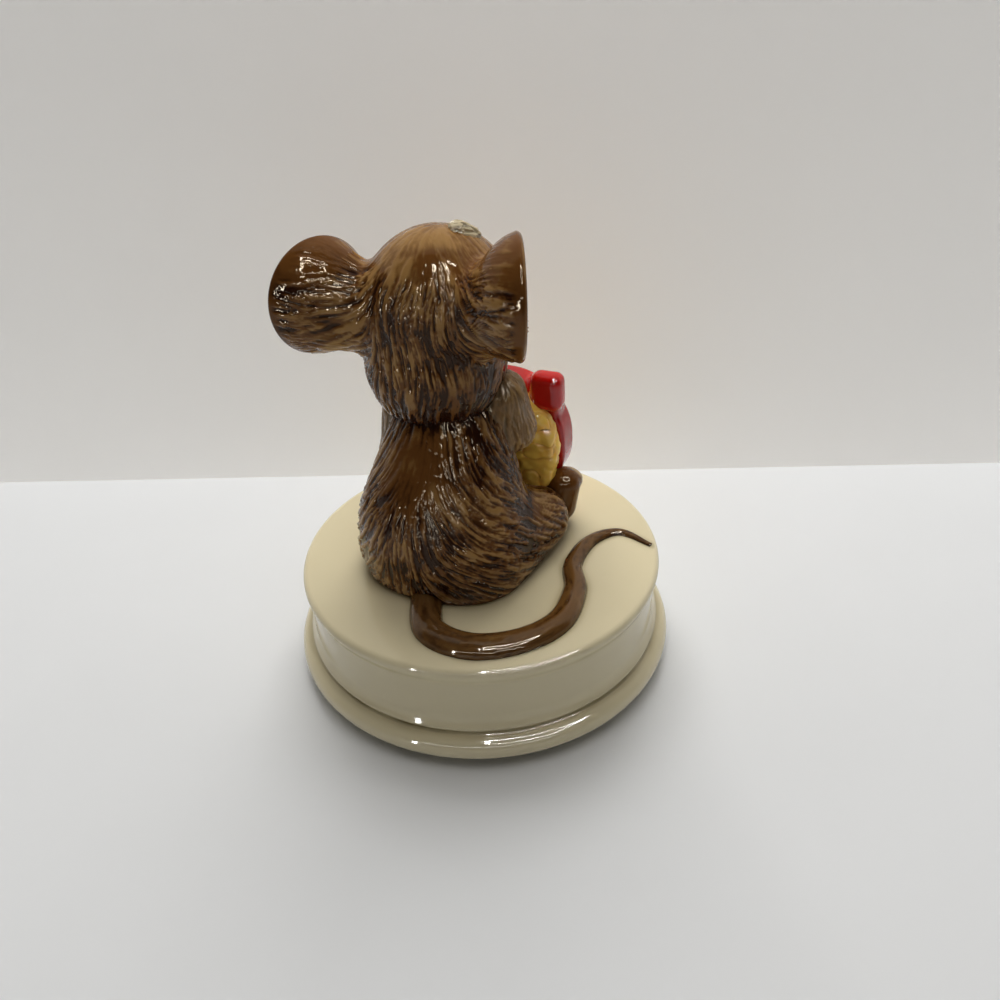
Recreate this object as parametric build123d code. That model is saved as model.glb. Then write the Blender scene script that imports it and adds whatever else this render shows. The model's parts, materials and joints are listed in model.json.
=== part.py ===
from build123d import *
import os
from math import acos, cos, pi, radians, sin, tan

# A revolving musical mouse figurine, in millimetres. A glazed mouse sits on a hollow slip-cast drum
# and holds a piece of waxed cheese. The drum hides a wind-up comb movement, whose winding arbor
# stands on a turntable: turning the figure winds it, and the figure revolves as it plays.
# The origin is the centre of the surface that it stands on, +Z is up and the mouse faces -Y,
# so its left is +X. The movement's cylinder lies along +X.

# Clearances and allowances
half_turn_angle = 180.0
bearing_play = 0.05
pass_gap = 0.3
cut_over = 1.0
bond_depth = 1.0

# Turntable
foot_pad_radius = 38.0
foot_pad_width = 7.0
foot_pad_thickness = 0.8
turntable_thickness = 1.8
turntable_rim = 1.2
turntable_margin = 1.5
turntable_boss_radius = 6.0
turntable_boss_height = 1.6
turntable_web = 0.8
turn_gap = 0.4
turntable_screw_head_radius = 2.8
turntable_screw_head_height = 1.1
turntable_screw_shank_radius = 1.0
turntable_screw_length = 4.5

# Drum
bead_radius = 50.0
bead_size = 3.2
groove_drop = 0.8
wall_foot_flare = 1.5
wall_foot_height = 4.0
wall_radius = 45.6
base_height = 26.4
lip_overhang = 1.1
lip_rounding = 1.55
ceramic_wall = 3.6
plate_recess = 1.6
plate_thickness = 2.4
plate_ledge = 1.6
plate_play = 0.2

# Mouse torso. The body, its limbs and what it holds follow torso_radius: their radii and sizes
# are shares of it, and so are their places in the mouse's frame: left, forward and up.
seat_left = 5.4
seat_back = 2.5
torso_radius = 21.8
chest_radius_share = 0.67
torso_place_shares = (0.06, -0.16, 0.53)
chest_place_shares = (0.04, 0.05, 1.50)
limb_midline_share = 0.02

# Mouse head. Places in the head's own frame are shares of skull_radius.
skull_radius = 17.6
jowl_radius = 16.4
head_turn = -1.0
head_roll = 5.7
head_sink = 10.4
head_place_shares = (0.11, 0.23)
jowl_place_shares = (0.20, 0.0, -0.74)
muzzle_root_radius = 10.0
muzzle_tip_radius = 5.2
muzzle_root_place_shares = (0.0, 0.50, -0.50)
muzzle_tip_place_shares = (0.0, 1.42, -0.62)
nose_radius = 2.4
nose_place_share = 0.80
eye_radius = 2.8
eye_place_shares = (0.46, 0.86, 0.05)
tuft_root_radius = 3.6
tuft_tip_radius = 2.0
tuft_root_place_shares = (-0.14, 0.34, 0.80)
tuft_tip_place_shares = (-0.30, 0.78, 0.68)

# Ears
ear_rim_radius = 13.5
ear_depth = 9.5
ear_wall = 2.4
ear_root_radius = 10.0
ear_neck_radius = 9.2
ear_turn = 66.0
ear_lean_angle = 7.0
left_ear_place_shares = (1.40, -0.57, 0.30)
right_ear_place_shares = (-1.33, -0.57, 0.28)
ear_root_place_share = 0.55
ear_neck_place_share = 0.88

# Arms
shoulder_radius_share = 0.30
elbow_radius_share = 0.26
wrist_radius_share = 0.23
right_shoulder_place_shares = (-0.49, 0.36, 1.98)
right_elbow_place_shares = (-0.56, 0.49, 1.53)
right_wrist_place_shares = (-0.30, 0.86, 1.28)
left_shoulder_place_shares = (0.56, 0.14, 1.76)
left_elbow_place_shares = (0.70, 0.16, 1.17)
left_wrist_place_shares = (0.80, 0.92, 1.30)

# Legs
hip_radius_share = 0.765
knee_radius_share = 0.39
hip_place_shares = (-0.27, -0.28, 0.28)
knee_place_shares = (-0.83, 0.52, 0.31)
heel_radius_share = 0.25
toe_radius_share = 0.20
heel_place_shares = (-0.94, 0.93, 0.28)
toe_place_shares = (-1.03, 0.96, 0.57)

# Tail, along a path given in shares of the lip's radius
tail_width = 8.0
tail_height = 3.4
tail_path_shares = (
    (0.12, 0.46),
    (-0.03, 0.73),
    (-0.27, 0.78),
    (-0.49, 0.66),
    (-0.625, 0.45),
    (-0.62, 0.185),
    (-0.545, -0.015),
    (-0.57, -0.25),
    (-0.705, -0.39),
    (-0.905, -0.328),
)
tail_sections = 15
tail_tip_share = 0.16

# Cheese, with a wax rind round its front half that ends in a knob
cheese_width_share = 1.70
cheese_height_share = 1.674
cheese_thickness_share = 0.688
cheese_corner_share = 0.80
cheese_clearance_share = 0.206
cheese_left_share = -0.17
cheese_bevel_share = 0.092
rind_thickness_share = 0.138
rind_start_share = 0.27
rind_lip_share = 0.03
rind_setback_share = 0.046
knob_width_share = 0.38
knob_depth_share = 0.26
knob_height_share = 0.48
knob_rounding_share = 0.083
knob_place_shares = (-0.75, 1.156, 1.66)

# Bedplate and its fixings
bedplate_thickness = 1.2
bedplate_half_width = 20.5
bedplate_front = 16.5
bedplate_back = 23.0
bedplate_corner = 3.0
bedplate_margin = 0.8
mounting_screw_circle = 18.5
mounting_screw_count = 3
mounting_screw_angle = 45.0
mounting_screw_head_radius = 2.4
mounting_screw_head_height = 0.9
mounting_screw_shank_radius = 1.1

# Winding arbor, bush and crown wheel
arbor_radius = 2.2
arbor_seat_radius = 1.8
arbor_pivot_radius = 1.2
bush_wall = 1.2
bush_drop = 2.0
bush_flange_radius = 4.6
bush_flange_thickness = 0.3
bush_play = 0.1
gear_module = 0.75
crown_teeth = 36
pinion_teeth = 12
crown_face = 1.6
crown_web = 1.2
crown_ring_rise = 0.4
crown_hub_radius = 4.0
crown_hub_rise = 0.2
crown_tooth_share = 0.34
crown_tooth_inset = 0.05
pinion_tooth_share = 0.36
addendum_share = 0.60
dedendum_share = 0.87
pressure_angle = 20.0

# Spring barrel, mainspring and bridge
barrel_radius = 11.4
barrel_wall = 0.8
barrel_height = 9.0
spring_strip = 0.5
spring_turns = 3
spring_height = 7.0
spring_inner_radius = 2.6
bridge_thickness = 1.2
bridge_radius = 12.0
bridge_arm_width = 4.4
pillar_circle = 17.4
pillar_count = 3
pillar_radius = 1.6
bridge_screw_head_radius = 1.7
bridge_screw_head_height = 0.9
bridge_screw_shank_radius = 0.8
bridge_screw_length = 4.0

# Pinned cylinder
cylinder_radius = 6.2
cylinder_wall = 0.7
cylinder_end_gap = 0.5
note_count = 18
note_pitch = 0.9
pin_size = 0.35
pin_rise = 0.5
pins_per_note = 3
pin_step_angle = 37.0
cylinder_arbor_radius = 1.0
bearing_thickness = 1.0
bearing_half_width = 2.6
bearing_gap = 0.6
train_module = 0.25
cylinder_wheel_teeth = 48
cylinder_wheel_width = 1.0
train_tooth_share = 0.38
train_play = 0.06

# Comb
comb_tip_gap = 0.15
comb_longest_tooth = 9.0
comb_shortest_tooth = 6.0
comb_base_depth = 5.5
comb_thickness = 1.0
comb_tooth_thickness = 0.5
comb_slot = 0.25
comb_screw_head_radius = 1.5
comb_screw_head_height = 0.9
comb_screw_shank_radius = 0.8
comb_screw_length = 4.0
comb_screw_place_share = 0.28

# Governor
governor_pinion_teeth = 10
governor_pinion_width = 1.4
governor_arbor_radius = 0.45
worm_wheel_teeth = 24
worm_module = 0.35
worm_wheel_width = 1.2
worm_radius = 0.6
worm_pitch_radius = 1.0
governor_plate_thickness = 0.6
governor_plate_gap = 0.5
governor_plate_half_width = 2.3
governor_foot_thickness = 0.8
governor_foot_reach = 4.0
governor_top_rise = 2.2
governor_top_thickness = 0.8
fan_radius = 2.7
fan_height = 2.3
fan_thickness = 0.4
fan_gap = 0.4
fan_hub_radius = 0.9
governor_screw_head_radius = 1.3
governor_screw_head_height = 0.8
governor_screw_shank_radius = 0.6

# Levels and radii that follow from the sizes
turntable_bottom = foot_pad_thickness
turntable_radius = foot_pad_radius + pass_gap + turntable_rim + turntable_margin
turntable_top = turntable_bottom + turntable_thickness
base_bottom = turntable_top + turn_gap
base_top = base_bottom + base_height
cavity_radius = wall_radius - ceramic_wall
cavity_top = base_top - ceramic_wall
lip_radius = wall_radius + lip_overhang
plate_bottom = base_bottom + plate_recess
plate_top = plate_bottom + plate_thickness
bedplate_top = plate_top + bedplate_thickness
bush_radius = arbor_radius + bearing_play + bush_wall
bush_top = bedplate_top + bush_flange_thickness
crown_bottom = bush_top + bush_play
crown_web_top = crown_bottom + crown_web
crown_root = crown_web_top + crown_ring_rise
crown_pitch_radius = gear_module * crown_teeth / 2
pinion_pitch_radius = gear_module * pinion_teeth / 2
crown_pitch_level = crown_root + gear_module * dedendum_share
axis_level = crown_pitch_level + pinion_pitch_radius
barrel_bottom = crown_web_top + crown_hub_rise + pass_gap
barrel_top = barrel_bottom + barrel_height
bridge_top = barrel_top + bridge_thickness
arbor_bottom = turntable_top + turntable_boss_height - turntable_web
pinion_start = crown_pitch_radius - crown_face / 2
pinion_end = pinion_start + crown_face
near_bearing_start = pinion_end + bearing_gap
cylinder_start = near_bearing_start + bearing_thickness + cylinder_end_gap
cylinder_length = note_count * note_pitch
cylinder_end = cylinder_start + cylinder_length
cylinder_wheel_start = cylinder_end + pass_gap
cylinder_wheel_end = cylinder_wheel_start + cylinder_wheel_width
far_bearing_start = cylinder_wheel_end + cylinder_end_gap
far_bearing_end = far_bearing_start + bearing_thickness
cylinder_wheel_radius = train_module * cylinder_wheel_teeth / 2
governor_pinion_radius = train_module * governor_pinion_teeth / 2
governor_offset = cylinder_wheel_radius + governor_pinion_radius + train_play
worm_wheel_radius = worm_module * worm_wheel_teeth / 2
worm_offset = governor_offset + worm_wheel_radius + worm_pitch_radius

# Sizes that follow from the mouse's torso
chest_radius = torso_radius * chest_radius_share
cheese_width = torso_radius * cheese_width_share
cheese_height = torso_radius * cheese_height_share
cheese_thickness = torso_radius * cheese_thickness_share
cheese_corner = torso_radius * cheese_corner_share
cheese_clearance = torso_radius * cheese_clearance_share
cheese_bevel = torso_radius * cheese_bevel_share
rind_thickness = torso_radius * rind_thickness_share
rind_start = torso_radius * rind_start_share
rind_end = cheese_thickness - torso_radius * rind_setback_share
rind_lip = torso_radius * rind_lip_share
knob_rounding = torso_radius * knob_rounding_share


# Placing helpers

def in_shares(size, shares):
    """A point left, forward and up of a frame's origin, given as shares of one size."""
    left, forward, up = shares
    return Vector(size * left, -size * forward, size * up)


def mirrored(shares):
    """The same place on the mouse's other side, about the plane midway between its limbs."""
    return (2 * limb_midline_share - shares[0], shares[1], shares[2])


def on_body():
    """The mouse's own frame: its seat on the drum's top."""
    return Pos(seat_left, seat_back, base_top)


def on_head():
    """The head's frame: the skull's centre, turned and tilted."""
    left, forward = head_place_shares
    chest_top = torso_radius * chest_place_shares[2] + chest_radius
    up = chest_top - head_sink + jowl_radius - skull_radius * jowl_place_shares[2]
    place = on_body() * Pos(torso_radius * left, -torso_radius * forward, up)
    return place * Rot(Z=-head_turn) * Rot(Y=head_roll)


def swelling(first, first_radius, second, second_radius):
    """Two balls joined by the cone that touches both, the form of a limb between two points."""
    along = second - first
    cosine = (first_radius - second_radius) / along.length
    lean = acos(cosine)
    sine = sin(lean)
    outline = [
        ThreePointArc(
            (0, -first_radius),
            (first_radius * sin((pi + lean) / 2), first_radius * cos((pi + lean) / 2)),
            (first_radius * sine, first_radius * cosine),
        ),
        Line(
            (first_radius * sine, first_radius * cosine),
            (second_radius * sine, along.length + second_radius * cosine),
        ),
        ThreePointArc(
            (second_radius * sine, along.length + second_radius * cosine),
            (second_radius * sin(lean / 2), along.length + second_radius * cos(lean / 2)),
            (0, along.length + second_radius),
        ),
        Line((0, along.length + second_radius), (0, -first_radius)),
    ]
    form = revolve(Plane.XZ * make_face(outline), Axis.Z, 360)
    return Plane(origin=first, z_dir=along) * form


def body_form(first_shares, first_share, second_shares, second_share):
    """A swelling form in the mouse's frame, its places and radii in shares of the torso's radius."""
    first = in_shares(torso_radius, first_shares)
    second = in_shares(torso_radius, second_shares)
    form = swelling(first, torso_radius * first_share, second, torso_radius * second_share)
    return on_body() * form


def above(solid, level):
    """What lies above a level."""
    return split(solid, bisect_by=Plane.XY.offset(level), keep=Keep.TOP)


def main_solid(shape):
    """The largest solid of a trimmed shape."""
    return max(shape.solids(), key=lambda solid: solid.volume)


def tube(outer, inner, bottom, top):
    """A ring standing between two levels, or a plain disc where inner is zero."""
    ring = Cylinder(outer, top - bottom, align=(Align.CENTER, Align.CENTER, Align.MIN))
    if inner:
        height = top - bottom + 2 * cut_over
        hole = Cylinder(inner, height, align=(Align.CENTER, Align.CENTER, Align.MIN))
        ring = ring - Pos(0, 0, -cut_over) * hole
    return Pos(0, 0, bottom) * ring


def lying(solid, start):
    """Lays a solid that stands on the XY plane along +X, from start, at the cylinder's level."""
    return Pos(start, 0, axis_level) * Rot(Y=90) * solid


def block(x_low, x_high, y_low, y_high, z_low, z_high):
    """A box between its six limits."""
    box = Box(x_high - x_low, y_high - y_low, z_high - z_low, align=(Align.MIN,) * 3)
    return Pos(x_low, y_low, z_low) * box


def on_circle(radius, count, start=0.0):
    """Evenly spaced places on a circle about the arbor."""
    return PolarLocations(radius, count, start_angle=start)


# Drum and its closing plate

def drum_base():
    """Slip-cast drum: half-round bead at the foot, coved wall, rounded lip and an open underside."""
    bead_inner = bead_radius - bead_size
    bead_top = base_bottom + 2 * bead_size
    groove_radius = bead_inner - groove_drop
    foot_radius = wall_radius + wall_foot_flare
    foot_level = bead_top + 2 * groove_drop
    cove_level = foot_level + wall_foot_height
    mid_level = foot_level + wall_foot_height / 3
    lip_level = base_top - lip_rounding
    lip_start = lip_level - 2 * lip_overhang
    rebate_radius = cavity_radius + plate_ledge
    slope = cos(radians(45))
    outline = [
        Line((rebate_radius, base_bottom), (bead_inner, base_bottom)),
        ThreePointArc(
            (bead_inner, base_bottom), (bead_radius, base_bottom + bead_size), (bead_inner, bead_top)
        ),
        Line((bead_inner, bead_top), (groove_radius, bead_top + groove_drop)),
        Line((groove_radius, bead_top + groove_drop), (foot_radius, foot_level)),
        Line((foot_radius, foot_level), (wall_radius + wall_foot_flare / 4, mid_level)),
        Line((wall_radius + wall_foot_flare / 4, mid_level), (wall_radius, cove_level)),
        Line((wall_radius, cove_level), (wall_radius, lip_start)),
        Line((wall_radius, lip_start), (lip_radius, lip_level)),
        ThreePointArc(
            (lip_radius, lip_level),
            (lip_radius - lip_rounding * (1 - slope), lip_level + lip_rounding * slope),
            (lip_radius - lip_rounding, base_top),
        ),
        Line((lip_radius - lip_rounding, base_top), (0, base_top)),
        Line((0, base_top), (0, cavity_top)),
        Line((0, cavity_top), (cavity_radius, cavity_top)),
        Line((cavity_radius, cavity_top), (cavity_radius, plate_top)),
        Line((cavity_radius, plate_top), (rebate_radius, plate_top)),
        Line((rebate_radius, plate_top), (rebate_radius, base_bottom)),
    ]
    return revolve(Plane.XZ * make_face(outline), Axis.Z, 360)


def mounting_places():
    """Where the screws hold the bedplate to the closing plate."""
    return on_circle(mounting_screw_circle, mounting_screw_count, mounting_screw_angle)


def closing_plate():
    """Moulded plate bonded into the drum's rebate, with a pass for the bush and the fixing screws."""
    plate = tube(cavity_radius + plate_ledge - plate_play, bush_radius + pass_gap, plate_bottom, plate_top)
    for place in mounting_places():
        plate = plate - place * tube(
            mounting_screw_shank_radius, 0, plate_bottom - cut_over, plate_top + cut_over
        )
    return plate


def mounting_screws():
    """Screws from below, through the closing plate into the bedplate."""
    head = tube(
        mounting_screw_head_radius, 0, plate_bottom - mounting_screw_head_height, plate_bottom
    )
    screw = head + tube(mounting_screw_shank_radius, 0, plate_bottom, bedplate_top)
    return [place * screw for place in mounting_places()]


# Turntable

def foot_pad():
    """Non-slip ring under the turntable."""
    return tube(foot_pad_radius, foot_pad_radius - foot_pad_width, 0, foot_pad_thickness)


def turntable():
    """Pressed disc with a rim that locates the pad, and a boss that takes the winding arbor."""
    disc = tube(turntable_radius, 0, turntable_bottom, turntable_top)
    disc = disc + tube(
        foot_pad_radius + turntable_rim + pass_gap, foot_pad_radius + pass_gap,
        foot_pad_thickness / 2, turntable_bottom,
    )
    boss_top = turntable_top + turntable_boss_height
    disc = disc + tube(turntable_boss_radius, 0, turntable_top, boss_top)
    disc = disc - tube(arbor_radius, 0, arbor_bottom, boss_top + cut_over)
    disc = disc - tube(
        turntable_screw_head_radius + pass_gap, 0,
        turntable_bottom - cut_over, arbor_bottom - turntable_web,
    )
    return disc - tube(turntable_screw_shank_radius, 0, turntable_bottom - cut_over, boss_top)


def turntable_screw():
    """Screw that clamps the boss's web against the arbor's end."""
    head_top = arbor_bottom - turntable_web
    head = tube(turntable_screw_head_radius, 0, head_top - turntable_screw_head_height, head_top)
    return head + tube(turntable_screw_shank_radius, 0, head_top, head_top + turntable_screw_length)


def winding_arbor():
    """Stepped arbor: journal in the bush, seat for the crown wheel and a pivot in the bridge."""
    journal = tube(arbor_radius, 0, arbor_bottom, crown_bottom)
    seat = tube(arbor_seat_radius, 0, crown_bottom, barrel_top - pass_gap)
    pivot = tube(arbor_pivot_radius, 0, barrel_top - pass_gap, bridge_top)
    screw_end = arbor_bottom - turntable_web + turntable_screw_length
    screw_hole = tube(turntable_screw_shank_radius, 0, arbor_bottom - cut_over, screw_end)
    return journal + seat + pivot - screw_hole


# Gear forms

def gear_face(teeth, module, tooth_share):
    """A flat gear outline with straight flanks at the pressure angle."""
    pitch_radius = module * teeth / 2
    root_radius = pitch_radius - module * dedendum_share
    tip_radius = pitch_radius + module * addendum_share
    half_tooth = tooth_share * pi * module / 2
    lean = tan(radians(pressure_angle))
    root_angle = (half_tooth + module * dedendum_share * lean) / pitch_radius
    tip_angle = (half_tooth - module * addendum_share * lean) / pitch_radius
    points = []
    for tooth in range(teeth):
        middle = 2 * pi * tooth / teeth
        for radius, angle in (
            (root_radius, middle - root_angle),
            (tip_radius, middle - tip_angle),
            (tip_radius, middle + tip_angle),
            (root_radius, middle + root_angle),
        ):
            points.append((radius * cos(angle), radius * sin(angle)))
    return make_face(Polyline(*points, close=True))


def spur_gear(teeth, module, tooth_share, width, bore):
    """A gear standing on the XY plane with a tooth centred on +X."""
    gear = extrude(gear_face(teeth, module, tooth_share), width)
    return gear - tube(bore, 0, -cut_over, width + cut_over)


def crown_wheel():
    """Face gear on the arbor: a web with a hub and a ring of radial teeth on its upper side."""
    outer = crown_pitch_radius + crown_face / 2
    inner = crown_pitch_radius - crown_face / 2
    wheel = tube(outer, arbor_seat_radius, crown_bottom, crown_web_top)
    wheel = wheel + tube(outer, inner, crown_web_top, crown_root)
    hub_top = crown_web_top + crown_hub_rise
    wheel = wheel + tube(crown_hub_radius, arbor_seat_radius, crown_web_top, hub_top)
    half_tooth = crown_tooth_share * pi * gear_module / 2
    lean = tan(radians(pressure_angle))
    root_half = half_tooth + gear_module * dedendum_share * lean
    tip_half = half_tooth - gear_module * addendum_share * lean
    tip_level = crown_pitch_level + gear_module * addendum_share
    profile = Polyline(
        (-root_half, crown_root - crown_ring_rise),
        (root_half, crown_root - crown_ring_rise),
        (root_half, crown_root),
        (tip_half, tip_level),
        (-tip_half, tip_level),
        (-root_half, crown_root),
        close=True,
    )
    length = crown_face - 2 * crown_tooth_inset
    tooth = Pos(inner + crown_tooth_inset, 0, 0) * extrude(Plane.YZ * make_face(profile), length)
    teeth = [Rot(Z=360 * (index + 0.5) / crown_teeth) * tooth for index in range(crown_teeth)]
    return wheel + teeth


# Movement frame and spring

def bedplate():
    """Stamped plate that carries the whole movement."""
    reach = cavity_radius - bedplate_margin
    plate = block(
        -bedplate_half_width, reach, -bedplate_front, bedplate_back, plate_top, bedplate_top
    )
    plate = fillet(plate.edges().filter_by(Axis.Z), bedplate_corner)
    plate = plate & tube(reach, 0, plate_top, bedplate_top)
    plate = plate - tube(bush_radius, 0, plate_top - cut_over, bedplate_top + cut_over)
    for place in mounting_places():
        plate = plate - place * tube(
            mounting_screw_shank_radius, 0, plate_top - cut_over, bedplate_top + cut_over
        )
    return plate


def arbor_bush():
    """Flanged bush for the winding arbor, pressed into the bedplate."""
    bore = arbor_radius + bearing_play
    bush = tube(bush_radius, bore, plate_top - bush_drop, bedplate_top)
    return bush + tube(bush_flange_radius, bore, bedplate_top, bush_top)


def spring_barrel():
    """Cup that holds the mainspring, closed above by the bridge."""
    floor_hole = arbor_seat_radius + pass_gap
    barrel = tube(barrel_radius, floor_hole, barrel_bottom, barrel_top)
    inside = barrel_radius - barrel_wall
    return barrel - tube(inside, 0, barrel_bottom + barrel_wall, barrel_top + cut_over)


def mainspring():
    """Strip wound in a spiral of half-turn arcs, from the arbor out to the barrel's wall."""
    half_turns = 2 * spring_turns
    reach = barrel_radius - barrel_wall - spring_strip
    step = (reach - spring_inner_radius) / half_turns
    inner_side = []
    outer_side = []
    for index in range(half_turns):
        hand = 1 if index % 2 == 0 else -1
        start = spring_inner_radius + step * index
        middle = start + step / 2
        shift = hand * step / 2
        for side, extra in ((inner_side, 0), (outer_side, spring_strip)):
            first = (hand * (start + extra), 0)
            crown = (-shift, hand * (middle + extra))
            last = (-hand * (start + step + extra), 0)
            side.append(ThreePointArc(first, crown, last))
    outline = [
        *inner_side,
        Line(inner_side[-1] @ 1, outer_side[-1] @ 1),
        *outer_side,
        Line(outer_side[0] @ 0, inner_side[0] @ 0),
    ]
    level = barrel_bottom + barrel_wall + (barrel_height - barrel_wall - spring_height) / 2
    return Pos(0, 0, level) * extrude(make_face(outline), spring_height)


def pillar_places():
    """The bridge's pillars stand clear of the cylinder, which lies along +X."""
    return [Rot(Z=90 * (index + 1)) * Pos(pillar_circle, 0, 0) for index in range(pillar_count)]


def bridge_screw_bottom():
    """How deep the bridge's screws reach into the pillars."""
    return bridge_top - bridge_screw_length


def bridge():
    """Plate over the barrel, with an arm to each pillar and the arbor's upper bearing."""
    plate = tube(bridge_radius, 0, barrel_top, bridge_top)
    half_arm = bridge_arm_width / 2
    arm = block(0, pillar_circle, -half_arm, half_arm, barrel_top, bridge_top)
    for index in range(pillar_count):
        plate = plate + Rot(Z=90 * (index + 1)) * arm
    for place in pillar_places():
        plate = plate + place * tube(half_arm, 0, barrel_top, bridge_top)
    for place in pillar_places():
        plate = plate - place * tube(
            bridge_screw_shank_radius, 0, barrel_top - cut_over, bridge_top + cut_over
        )
    bore = arbor_pivot_radius + bearing_play
    return plate - tube(bore, 0, barrel_top - cut_over, bridge_top + cut_over)


def bridge_pillars():
    """Tapped posts between the bedplate and the bridge."""
    pillar = tube(pillar_radius, 0, bedplate_top, barrel_top)
    pillar = pillar - tube(
        bridge_screw_shank_radius, 0, bridge_screw_bottom(), barrel_top + cut_over
    )
    return [place * pillar for place in pillar_places()]


def bridge_screws():
    """Screws that hold the bridge on its pillars."""
    head = tube(bridge_screw_head_radius, 0, bridge_top, bridge_top + bridge_screw_head_height)
    screw = head + tube(bridge_screw_shank_radius, 0, bridge_screw_bottom(), bridge_top)
    return [place * screw for place in pillar_places()]


# Pinned cylinder and its bearings

def cylinder_arbor():
    """Arbor that carries the pinion, the cylinder and the cylinder's wheel."""
    start = pinion_start - pass_gap
    return lying(tube(cylinder_arbor_radius, 0, 0, far_bearing_end - start), start)


def cylinder_pinion():
    """Pinion that the crown wheel turns."""
    gear = spur_gear(
        pinion_teeth, gear_module, pinion_tooth_share, crown_face, cylinder_arbor_radius
    )
    return lying(gear, pinion_start)


def music_cylinder():
    """Hollow pinned cylinder. Each note has its own track of pins."""
    inside = cylinder_radius - cylinder_wall
    drum = tube(cylinder_radius, cylinder_arbor_radius, 0, cylinder_length)
    drum = drum - tube(
        inside, 2 * cylinder_arbor_radius, cylinder_wall, cylinder_length - cylinder_wall
    )
    pin_length = pin_rise + cylinder_wall / 2
    pin = Box(pin_length, pin_size, pin_size, align=(Align.MIN, Align.CENTER, Align.CENTER))
    pins = []
    for note in range(note_count):
        for index in range(pins_per_note):
            turn = pin_step_angle * note + 360 * index / pins_per_note
            level = note_pitch * (note + 1 / 2)
            pins.append(Rot(Z=turn) * Pos(cylinder_radius - cylinder_wall / 2, 0, level) * pin)
    return lying(drum + pins, cylinder_start)


def cylinder_wheel():
    """Wheel that drives the governor."""
    gear = spur_gear(
        cylinder_wheel_teeth, train_module, train_tooth_share,
        cylinder_wheel_width, cylinder_arbor_radius,
    )
    return lying(gear, cylinder_wheel_start)


def bearing(start):
    """Upright with the cylinder arbor's hole."""
    top = axis_level + bearing_half_width
    upright = block(
        start, start + bearing_thickness, -bearing_half_width, bearing_half_width,
        bedplate_top, top,
    )
    hole = tube(
        cylinder_arbor_radius + bearing_play, 0, -cut_over, bearing_thickness + cut_over
    )
    return upright - lying(hole, start)


def bearing_brackets():
    """The cylinder's two bearings, one at each end."""
    return [bearing(near_bearing_start), bearing(far_bearing_start)]


# Comb

def comb_tip():
    """The comb's tips stand just clear of the circle that the pins describe."""
    return cylinder_radius + pin_rise + comb_tip_gap


def comb_base_front(share):
    """Where the teeth leave the base, from the longest tooth to the shortest."""
    return comb_tip() + comb_longest_tooth + (comb_shortest_tooth - comb_longest_tooth) * share


def comb_back():
    """The comb's back edge."""
    return comb_base_front(0) + comb_base_depth


def comb_screw_places():
    """Two screws in the comb's base."""
    level = comb_back() - comb_base_depth / 2
    inset = cylinder_length * comb_screw_place_share
    return [Pos(cylinder_start + inset, level, 0), Pos(cylinder_end - inset, level, 0)]


def comb_screw_bottom():
    """How deep the comb's screws reach into its block."""
    return axis_level + comb_thickness / 2 - comb_screw_length


def comb_screw_hole(bottom, top):
    """The screws' holes between two levels."""
    hole = tube(comb_screw_shank_radius, 0, bottom, top)
    return [place * hole for place in comb_screw_places()]


def comb():
    """Steel comb: tuned teeth of falling length on a thicker base."""
    half = comb_thickness / 2
    outline = Polyline(
        (cylinder_start, comb_base_front(0)),
        (cylinder_end, comb_base_front(1)),
        (cylinder_end, comb_back()),
        (cylinder_start, comb_back()),
        close=True,
    )
    base = Pos(0, 0, axis_level - half) * extrude(make_face(outline), comb_thickness)
    teeth = []
    half_tooth = comb_tooth_thickness / 2
    for note in range(note_count):
        left = cylinder_start + note_pitch * note + comb_slot / 2
        right = left + note_pitch - comb_slot
        root = comb_base_front(note / note_count) + bond_depth
        teeth.append(
            block(left, right, comb_tip(), root, axis_level - half_tooth, axis_level + half_tooth)
        )
    return base + teeth - comb_screw_hole(axis_level - cut_over, axis_level + cut_over)


def comb_block():
    """Block that lifts the comb to the cylinder's axis."""
    top = axis_level - comb_thickness / 2
    riser = block(
        cylinder_start, cylinder_end, comb_base_front(0), comb_back(), bedplate_top, top
    )
    return riser - comb_screw_hole(comb_screw_bottom(), top + cut_over)


def comb_screws():
    """Screws through the comb into its block."""
    top = axis_level + comb_thickness / 2
    head = tube(comb_screw_head_radius, 0, top, top + comb_screw_head_height)
    screw = head + tube(comb_screw_shank_radius, 0, comb_screw_bottom(), top)
    return [place * screw for place in comb_screw_places()]


# Governor, beyond the cylinder's far bearing

governor_inner_start = far_bearing_start
governor_inner_end = governor_inner_start + governor_plate_thickness
worm_wheel_start = governor_inner_end + governor_plate_gap
worm_wheel_end = worm_wheel_start + worm_wheel_width
governor_outer_start = worm_wheel_end + governor_plate_gap
governor_outer_end = governor_outer_start + governor_plate_thickness
worm_place = (worm_wheel_start + worm_wheel_end) / 2
governor_top_level = axis_level + governor_top_rise
governor_roof = governor_top_level + governor_top_thickness
governor_foot_top = bedplate_top + governor_foot_thickness
governor_front = worm_offset + governor_plate_half_width
governor_screw_x = governor_inner_start - governor_foot_reach / 2
worm_wheel_tip_radius = worm_wheel_radius + worm_module * addendum_share
fan_bottom = axis_level + worm_wheel_tip_radius + fan_gap


def on_governor_axis(solid, start):
    """Lays a solid along the governor's cross axis."""
    return Pos(0, -governor_offset, 0) * lying(solid, start)


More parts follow.
